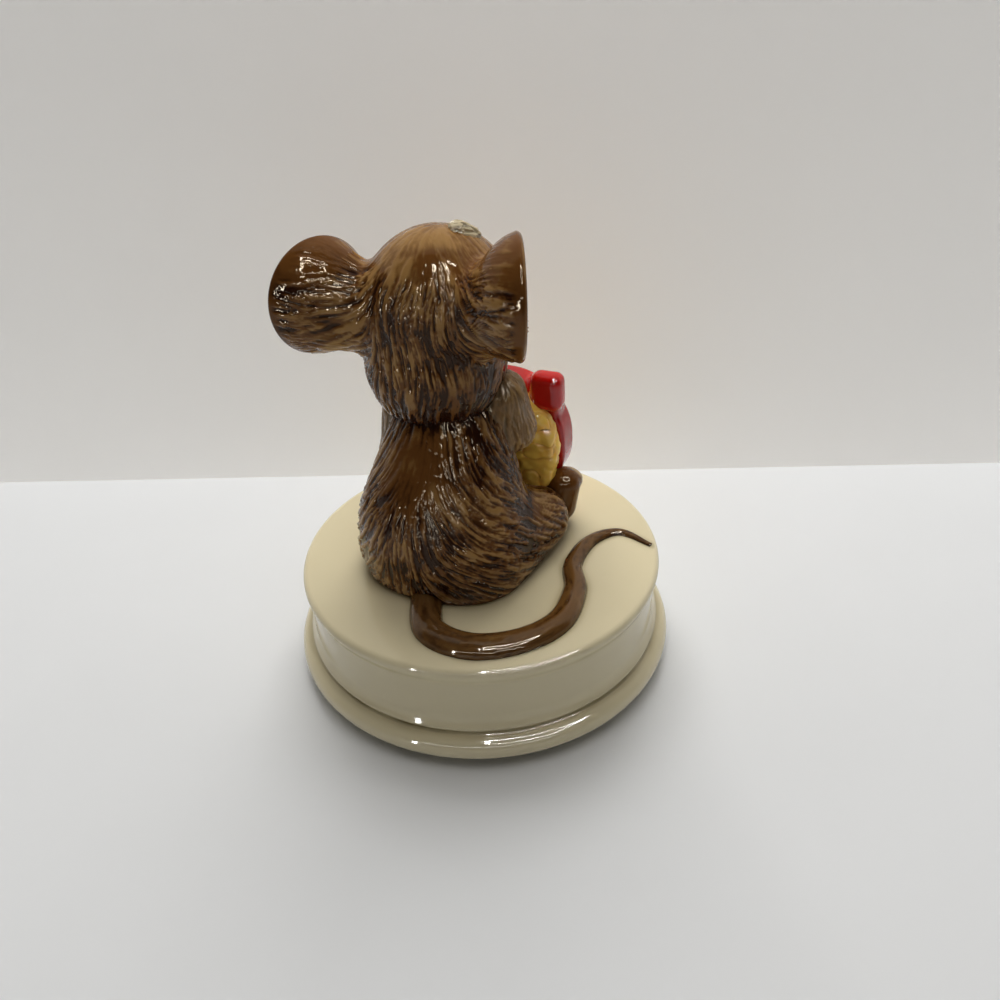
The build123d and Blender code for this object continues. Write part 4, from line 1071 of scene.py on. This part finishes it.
class FIGURINE_OT_ears(Operator):
    """Two cupped ears with a rolled rim"""

    bl_idname = "figurine.ears"
    bl_label = "Ears"

    def execute(self, context):
        sizes = mouse_sizes()
        for hand, name in ((1, "left"), (-1, "right")):
            centre, axes = ear_frame(hand)
            side, opening, up = axes.T
            turned = np.stack([side * hand, up, opening], axis=1)
            turned[:, 0] *= np.sign(np.linalg.det(turned))
            piece = skin(name + "_ear_dish", lathe(ear_profile(sizes), 260, centre, turned))
            points, _ = surface(piece)
            _, ahead, high = ((points - centre) @ axes).T
            outside = ball(points, *ear_ball(hand)) > -0.4 * MM
            behind = fade(ahead, -0.3 * MM, -2.5 * MM) * outside
            hump = fade(high, 0.62 * sizes.ear_radius, 0.30 * sizes.ear_radius)
            points, height = furred(piece, ear_flow, 0.95 * behind * (0.2 + 0.8 * hump), 1)
            paint(piece, np.where(outside, height - 0.12 * (1 - behind), 0.8))
            settle(piece, "brown_glaze", glaze("brown_fur_glaze"), name + "_ear")
            piece.data.materials.append(glaze("ear_blush_glaze"))
            corners = np.empty(len(piece.data.loops), np.int32)
            piece.data.loops.foreach_get("vertex_index", corners)
            inside = (~outside & (ahead < -0.2 * MM))[corners.reshape(-1, 3)].all(axis=1)
            piece.data.polygons.foreach_set("material_index", inside.astype(np.int32))
        return {"FINISHED"}


class FIGURINE_OT_arms(Operator):
    """Two arms that hold the cheese"""

    bl_idname = "figurine.arms"
    bl_label = "Arms"

    def execute(self, context):
        reach = 1.3 * mouse_sizes().torso_radius
        for hand, name in ((1, "left"), (-1, "right")):
            elbow = body_point(arm_place_shares[hand][1])
            grid = star_surface(lambda places, hand=hand: arm_form(places, hand), elbow, 130, 200, reach)
            piece = skin(name + "_arm_fur", grid)
            points, height = furred(piece, arm_flow, 0.6, 1)
            # Painted shade with pooled glaze where the arms meet the body and head. The whole arm is a
            # quarter paler: a thinner glaze, and painted light standing in for the light on the arms' tops.
            paint(piece, height, 0.6 * creases(points, body_form, skull_form, width=0.8 * MM), 0.25)
            settle(piece, "brown_glaze", glaze("brown_fur_glaze"), name + "_arm")
        return {"FINISHED"}


class FIGURINE_OT_feet(Operator):
    """Two feet with their toes up"""

    bl_idname = "figurine.feet"
    bl_label = "Feet"

    def execute(self, context):
        reach, floor = mouse_sizes().torso_radius, drum_sizes().top
        for hand, name in ((1, "left"), (-1, "right")):
            middle = (limb_point(heel_place_shares, hand) + limb_point(toe_place_shares, hand)) / 2
            grid = star_surface(lambda places, hand=hand: foot_form(places, hand), middle, 130, 180, reach)
            grid[..., 2] = np.maximum(grid[..., 2], floor - sunk)
            piece = skin(name + "_foot_fur", grid)
            points, height = furred(piece, arm_flow, 0.05, 0)
            # Painted shade with pooled glaze where each foot meets its haunch.
            pool_and_shade = creases(points, lambda places, hand=hand: haunch_form(places, hand), width=0.8 * MM)
            sole = fade((middle - points)[:, 1], 1.5 * MM, 3.5 * MM)
            paint(piece, 0.9 * height, 0.5 * pool_and_shade, 0.9 * sole)
            settle(piece, "brown_glaze", glaze("brown_fur_glaze"), name + "_foot")
        return {"FINISHED"}


class FIGURINE_OT_face(Operator):
    """Eyes, nose and the tuft on the brow"""

    bl_idname = "figurine.face"
    bl_label = "Face"

    def execute(self, context):
        radius, eye = mouse_sizes().skull_radius, mouse_sizes().eye_radius
        domes = []
        for place in eye_places():
            grid = star_surface(lambda places, at=place: ball(places, at, eye), place, 40, 60, 4 * MM)
            domes.append(skin("eye_domes", grid))
        with context.temp_override(active_object=domes[0], selected_editable_objects=domes):
            bpy.ops.object.join()
        tip = head_point((0, -1.62, -0.56))

        def nose_form(points):
            pad = ball(points, tip, 2.3 * MM)
            for hand in (-1, 1):
                wing = tip + np.array([hand * 1.1, 0.3, -0.3]) * MM
                pad = merged(pad, ball(points, wing, 1.7 * MM), 1 * MM)
            return pad

        nose = skin("nose_pad", star_surface(nose_form, tip, 50, 70, 6 * MM))
        for piece, node in ((domes[0], "eyes"), (nose, "nose")):
            paint(piece, 0.6)
            settle(piece, "black_glaze", glaze("black_gloss_glaze"), node)

        root, end = head_point((-0.36, -0.12, 0.855)), head_point((-0.50, -0.22, 0.79))

        def tuft_form(points):
            form = swelling(points, root, end, 0.16 * radius, 0.11 * radius)
            for lean in (-0.10, 0.12):
                lock_end = head_point((-0.51 + lean, -0.26 - lean, 0.78 - abs(lean)))
                form = merged(form, swelling(points, root, lock_end, 0.11 * radius, 0.05 * radius), 1 * MM)
            return form

        tuft = skin("forelock_tuft", star_surface(tuft_form, 0.7 * root + 0.3 * end, 110, 150, radius))
        _, height = furred(tuft, lambda places: np.broadcast_to(end - root, places.shape), 0.8, 0)
        paint(tuft, 0.60 + 0.5 * height)
        settle(tuft, "tan_glaze", glaze("straw_tuft_glaze"), "forelock")
        return {"FINISHED"}


# Cheese and its wax rind

def cheese_frame():
    """Centre of the held cheese and its half sizes."""
    radius = mouse_sizes().torso_radius
    half = radius * np.array(cheese_size_shares) / 2
    front = radius * (chest_radius_share - chest_place_shares[1])
    left, clearance = radius * cheese_left_share, radius * cheese_clearance_share
    return seat() + np.array([left, -(front + half[1]), clearance + half[2]]), half


def plate_outline(points, centre, half, inset, corner):
    """Distance in the plane of the cheese to its rounded outline, drawn in by an inset."""
    gap = np.abs(points[..., [0, 2]] - centre[[0, 2]]) - half[[0, 2]] + corner
    return rounded(gap, corner - inset)


def rind_line(centre, half, inset, corner, rows):
    """Middle line of the rind round the cheese, with its outward directions in even steps."""
    turn = turns(rows)
    directions = np.stack([np.cos(turn), 0 * turn, np.sin(turn)], axis=-1)
    far = cast(
        lambda points: plate_outline(points, centre, half, inset, corner), centre, directions,
        1.6 * (max(half[0], half[2]) - inset), scans=40, halvings=20,
    )
    path = centre + directions * far[:, None]
    ahead = unit(np.roll(path, -1, axis=0) - np.roll(path, 1, axis=0))
    return path, np.stack([ahead[:, 2], 0 * turn, -ahead[:, 0]], axis=-1)


class FIGURINE_OT_cheese(Operator):
    """Golden craggy cheese in its red wax rind"""

    bl_idname = "figurine.cheese"
    bl_label = "Cheese"

    def execute(self, context):
        radius = mouse_sizes().torso_radius
        centre, half = cheese_frame()
        rind, corner = radius * rind_share, radius * cheese_corner_share
        back, front = centre[1] + half[1], centre[1] - half[1]
        start, end = back - radius * rind_start_share, back - radius * rind_end_share
        middle, depth = (start + end) / 2, (start - end) / 2

        def slab(points, inset, behind, ahead):
            flat = plate_outline(points, centre, half, inset, corner)
            return crossed(flat, np.maximum(points[..., 1] - behind, ahead - points[..., 1]), 2.2 * MM)

        def core_form(points):
            return merged(slab(points, 0.6 * MM, back, start), slab(points, rind, back, front), 0.5 * MM)

        piece = skin("cheese_crag", star_surface(core_form, centre, 190, 300, 1.5 * radius))
        points, _ = surface(piece)
        lumps = lattice_noise(points / (3.4 * MM), tables[0])
        lumps = lumps + 0.7 * lattice_noise(points / (1.5 * MM), tables[1])
        split = 1 - np.abs(lattice_noise(points / (4.2 * MM) + 7.3, tables[2])) * 6
        fissure = np.clip(split, 0, 1) ** 1.5
        raise_points(piece, 0.50 * MM * lumps - 0.7 * MM * fissure)
        paint(piece, 0.85 + 0.35 * lumps, 0.5 * fissure)
        settle(piece, "yellow_glaze", glaze("golden_cheese_glaze"), "cheese")

        path, outward = rind_line(centre, half, rind / 2, corner, 420)
        path[:, 1] = middle
        knob, knob_half = body_point(knob_place_shares), radius * np.array(knob_size_shares) / 2
        flap, flap_half = knob + radius * np.array(knob_lean_shares), knob_half - 0.3 * MM

        def rind_form(points):
            ring = np.abs(plate_outline(points, centre, half, 0, corner) + rind / 2) - rind / 2
            band = crossed(ring, np.abs(points[..., 1] - middle) - depth, 1.2 * MM)
            band = merged(band, rounded_box(points, knob, knob_half, 2.4 * MM), 1.5 * MM)
            return merged(band, rounded_box(points, flap, flap_half, 2.4 * MM), 2.5 * MM)

        turn = turns(90)[None, :, None]
        directions = outward[:, None, :] * np.cos(turn) + np.array([0, 1.0, 0]) * np.sin(turn)
        far = cast(rind_form, path[:, None, :], directions, 14 * MM)
        piece = skin("wax_rind", path[:, None, :] + directions * far[..., None], ring=True)
        wave = lattice_noise(surface(piece)[0] / (6 * MM), tables[3])
        # Painted shade with pooled glaze where the rind meets the cheese.
        pool_and_shade = creases(surface(piece)[0], core_form, width=0.5 * MM)
        raise_points(piece, 0.18 * MM * wave)
        paint(piece, 0.75 + 0.1 * wave, 0.35 * pool_and_shade)
        settle(piece, "red_glaze", glaze("red_wax_glaze"), "cheese_rind")
        return {"FINISHED"}


# Turntable and movement

class FIGURINE_OT_turntable(Operator):
    """Rubber ring under the turntable"""

    bl_idname = "figurine.turntable"
    bl_label = "Turntable"

    def execute(self, context):
        low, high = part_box("foot_pad")
        width, rounding = 7.0 * MM, 0.25 * MM
        outer, inner = high.x - rounding, high.x - width + rounding
        under, over = low.z + rounding, high.z - rounding
        corners = ((outer, under), (outer, over), (inner, over), (inner, under))
        arcs = [arc(corner, rounding, 90 * n - 90, 90 * n, 6) for n, corner in enumerate(corners)]
        pad = skin("foot_ring", lathe(np.concatenate(arcs)[::-1], 240), ring=True)
        rubber = moulded("black_rubber_skin", (0.02, 0.02, 0.02), 0.7, 0.9, 900.0)
        settle(pad, "black_rubber", rubber, "foot_pad", body="turntable")
        return {"FINISHED"}


class FIGURINE_OT_movement(Operator):
    """Metals and plastics of the wind-up movement"""

    bl_idname = "figurine.movement"
    bl_label = "Movement"

    def execute(self, context):
        finishes = {
            "zinc_plate": metal("zinc_plated_steel", (0.60, 0.60, 0.58), 0.32),
            "screw_steel": metal("screw_steel", (0.42, 0.42, 0.43), 0.28, 1500.0),
            "arbor_steel": metal("ground_arbor_steel", (0.55, 0.55, 0.57), 0.18, 1800.0),
            "gear_brass": metal("gear_brass", (0.72, 0.50, 0.20), 0.26, 1100.0),
            "spring_steel": metal("blued_spring_steel", (0.30, 0.33, 0.40), 0.22),
            "comb_block_zinc": metal("cast_zinc", (0.36, 0.36, 0.36), 0.45, 400.0),
            "fan_aluminium": metal("fan_aluminium", (0.75, 0.75, 0.76), 0.3),
            "closing_plate_plastic": moulded(
                "closing_plate_plastic", (0.018, 0.018, 0.02), 0.45, 0.65, 700.0
            ),
        }
        for entry in frame["record"]["subparts"]:
            if entry["material_slot"] in finishes:
                mesh = frame["nodes"][entry["node"]].data
                mesh.materials.clear()
                mesh.materials.append(finishes[entry["material_slot"]])
        return {"FINISHED"}


# Stage

def placed(name, data, axes, place):
    """A camera or lamp with its right, up and back axes, at a place."""
    thing = linked(name, data)
    rows = [(*row, spot) for row, spot in zip(np.stack(axes, axis=1), place)]
    thing.matrix_world = Matrix([*rows, (0, 0, 0, 1)])
    return thing


def swung(first, second, turn):
    """Two square directions turned in their plane, the first towards the second."""
    return first * cos(turn) + second * sin(turn), second * cos(turn) - first * sin(turn)


def camera_frame(settings):
    """The camera's right, up and back directions and its place.

    The lens looks at the drum's foot from its bearing and height, then yaws, pitches and rolls.
    """
    rise, bearing = settings.elevation, settings.azimuth
    back = cos(rise) * np.array([sin(bearing), -cos(bearing), 0]) + np.array([0, 0, sin(rise)])
    right = unit(np.cross(np.array([0, 0, 1.0]), back))
    up = np.cross(back, right)
    place = np.array([0, 0, drum_sizes().bottom]) + settings.distance * back
    back, right = swung(back, right, settings.yaw)
    back, up = swung(back, up, settings.pitch)
    right, up = swung(right, up, settings.roll)
    return (right, up, back), place


def sheet(name, corners, material):
    """A flat four-cornered sheet of the stage."""
    mesh = bpy.data.meshes.new(name)
    mesh.from_pydata([tuple(corner) for corner in corners], [], [(0, 1, 2, 3)])
    mesh.materials.append(material)
    made = linked(name, mesh)
    return made


def paper(name, tone):
    """Matt studio surface."""
    material, tree, shader = blank(name)
    tint = mixed(tree, noise(tree, 25.0, 4.0), tone, blend(tone, 0.96))
    joint(tree, tint, shader.inputs["Base Color"])
    shader.inputs["Roughness"].default_value = 0.75
    return material, tree, shader


def lamp(name, place, back, size, power, tone=(1, 1, 1), side=None, unseen="visible_glossy"):
    """A rectangular light that shines away from its back, and leaves out one kind of ray.

    Without visible_glossy it makes no highlights, and without visible_diffuse nothing but these.
    """
    data = bpy.data.lights.new(name, "AREA")
    data.shape, data.energy, data.color = "RECTANGLE", power, tone
    data.size, data.size_y = size
    back = unit(np.array(back))
    side = unit(np.cross(np.array([0, 0, 1.0]), back)) if side is None else side
    setattr(placed(name, data, (side, np.cross(back, side), back), place), unseen, False)


class FIGURINE_OT_stage(Operator):
    """Pale table, backdrop, soft light and the camera"""

    bl_idname = "figurine.stage"
    bl_label = "Stage"

    def execute(self, context):
        scene, settings = context.scene, context.scene.studio_settings
        axes, place = camera_frame(settings)
        data = bpy.data.cameras.new("studio_camera")
        data.lens = settings.lens_share * data.sensor_width
        data.clip_start = 0.01
        scene.camera = placed("studio_camera", data, axes, place)

        reach = 3.0
        corners = [(-reach, -reach, 0), (reach, -reach, 0), (reach, reach, 0), (-reach, reach, 0)]
        sheet("table_top", corners, paper("table_paper", settings.floor)[0])
        first, last = np.array([0.1561, -0.0307, 0]), np.array([-0.0972, -0.1262, 0])
        along = unit(last - first)
        low, high, lift = first - reach * along, last + reach * along, np.array([0, 0, 2.0])
        wall, tree, shader = paper("backdrop_paper", settings.wall)
        away = add(tree, "ShaderNodeNewGeometry", {})["Backfacing"]
        clear = add(tree, "ShaderNodeBsdfTransparent", {})[0]
        either = add(tree, "ShaderNodeMixShader", {0: away, 1: shader.outputs[0], 2: clear})[0]
        joint(tree, either, tree.nodes["Material Output"].inputs["Surface"])
        shader.inputs["Emission Color"].default_value = (*settings.wall, 1)
        shader.inputs["Emission Strength"].default_value = settings.wall_glow
        sheet("backdrop", [low, high, high + lift, low + lift], wall).visible_shadow = False

        world = bpy.data.worlds.new("studio_world")
        scene.world = world
        world.use_nodes = True
        sky = world.node_tree.nodes["Background"]
        sky.inputs["Color"].default_value = (*settings.sky, 1)
        sky.inputs["Strength"].default_value = settings.ambient

        target, upward, flat = np.array([0, 0, 0.06]), np.array([0, 0, 1.0]), np.array([1, 1, 0])
        side, level = unit(axes[0] * flat), unit(axes[2] * flat)
        panel, fill = 0.62 * upward - 0.36 * level, 1.3 * upward + 0.35 * level
        window, row = np.array([0.25, 0.93, 0.18]), level + 0.48 * upward
        lamp("ceiling_panel", panel, panel - target, (0.50, 0.40), 4.4, (1.0, 0.985, 0.95))
        lamp("room_fill", fill, fill - target, (0.6, 0.6), 3.2, (1.0, 0.97, 0.92))
        middle = 1.3 * (0.55 * level + 0.35 * side + upward)
        shine = {"unseen": "visible_diffuse"}
        for hand in (-1, 1):
            across, ahead = hand * 0.42 * level, hand * 0.48 * side
            lamp("long_tube", middle + across, upward, (0.95, 0.045), 14.0, side=side, **shine)
            lamp("short_tube", middle + ahead, upward, (0.80, 0.045), 11.0, side=level, **shine)
        lamp("window_light", window, window - target, (0.05, 0.30), 3.0, (0.97, 0.98, 1.0), **shine)
        lamp("window_row", row, row - target, (1.5, 0.05), 3.4, (0.97, 0.98, 1.0), **shine)
        scene.view_settings.view_transform = "Standard"
        return {"FINISHED"}


class FIGURINE_PT_panel(Panel):
    """Lists the figurine's operators and settings"""

    bl_idname = "FIGURINE_PT_panel"
    bl_label = "Musical mouse figurine"
    bl_space_type = "VIEW_3D"
    bl_region_type = "UI"
    bl_category = "Figurine"

    def draw(self, context):
        for operator in operators:
            self.layout.operator(operator.bl_idname)
        for name in settings_groups:
            settings = getattr(context.scene, name)
            for prop in settings.bl_rna.properties:
                if prop.identifier not in ("rna_type", "name"):
                    self.layout.prop(settings, prop.identifier)


operators = (
    FIGURINE_OT_stage, FIGURINE_OT_drum, FIGURINE_OT_tail, FIGURINE_OT_body,
    FIGURINE_OT_arms, FIGURINE_OT_feet, FIGURINE_OT_head, FIGURINE_OT_ears,
    FIGURINE_OT_face, FIGURINE_OT_cheese, FIGURINE_OT_turntable, FIGURINE_OT_movement,
)
settings_groups = {
    "drum_sizes": DrumSizes, "mouse_sizes": MouseSizes, "glaze_colours": GlazeColours,
    "studio_settings": StudioSettings,
}


def register():
    """Adds the classes and their settings to Blender."""
    for name, kind in settings_groups.items():
        bpy.utils.register_class(kind)
        setattr(bpy.types.Scene, name, PointerProperty(type=kind))
    for kind in (*operators, FIGURINE_PT_panel):
        bpy.utils.register_class(kind)


def unregister():
    """Takes them away again."""
    for kind in (FIGURINE_PT_panel, *reversed(operators)):
        bpy.utils.unregister_class(kind)
    for name, kind in settings_groups.items():
        delattr(bpy.types.Scene, name)
        bpy.utils.unregister_class(kind)


def main():
    """Builds everything."""
    register()
    for operator in operators:
        family, name = operator.bl_idname.split(".")
        getattr(getattr(bpy.ops, family), name)()


if __name__ == "__main__":
    main()
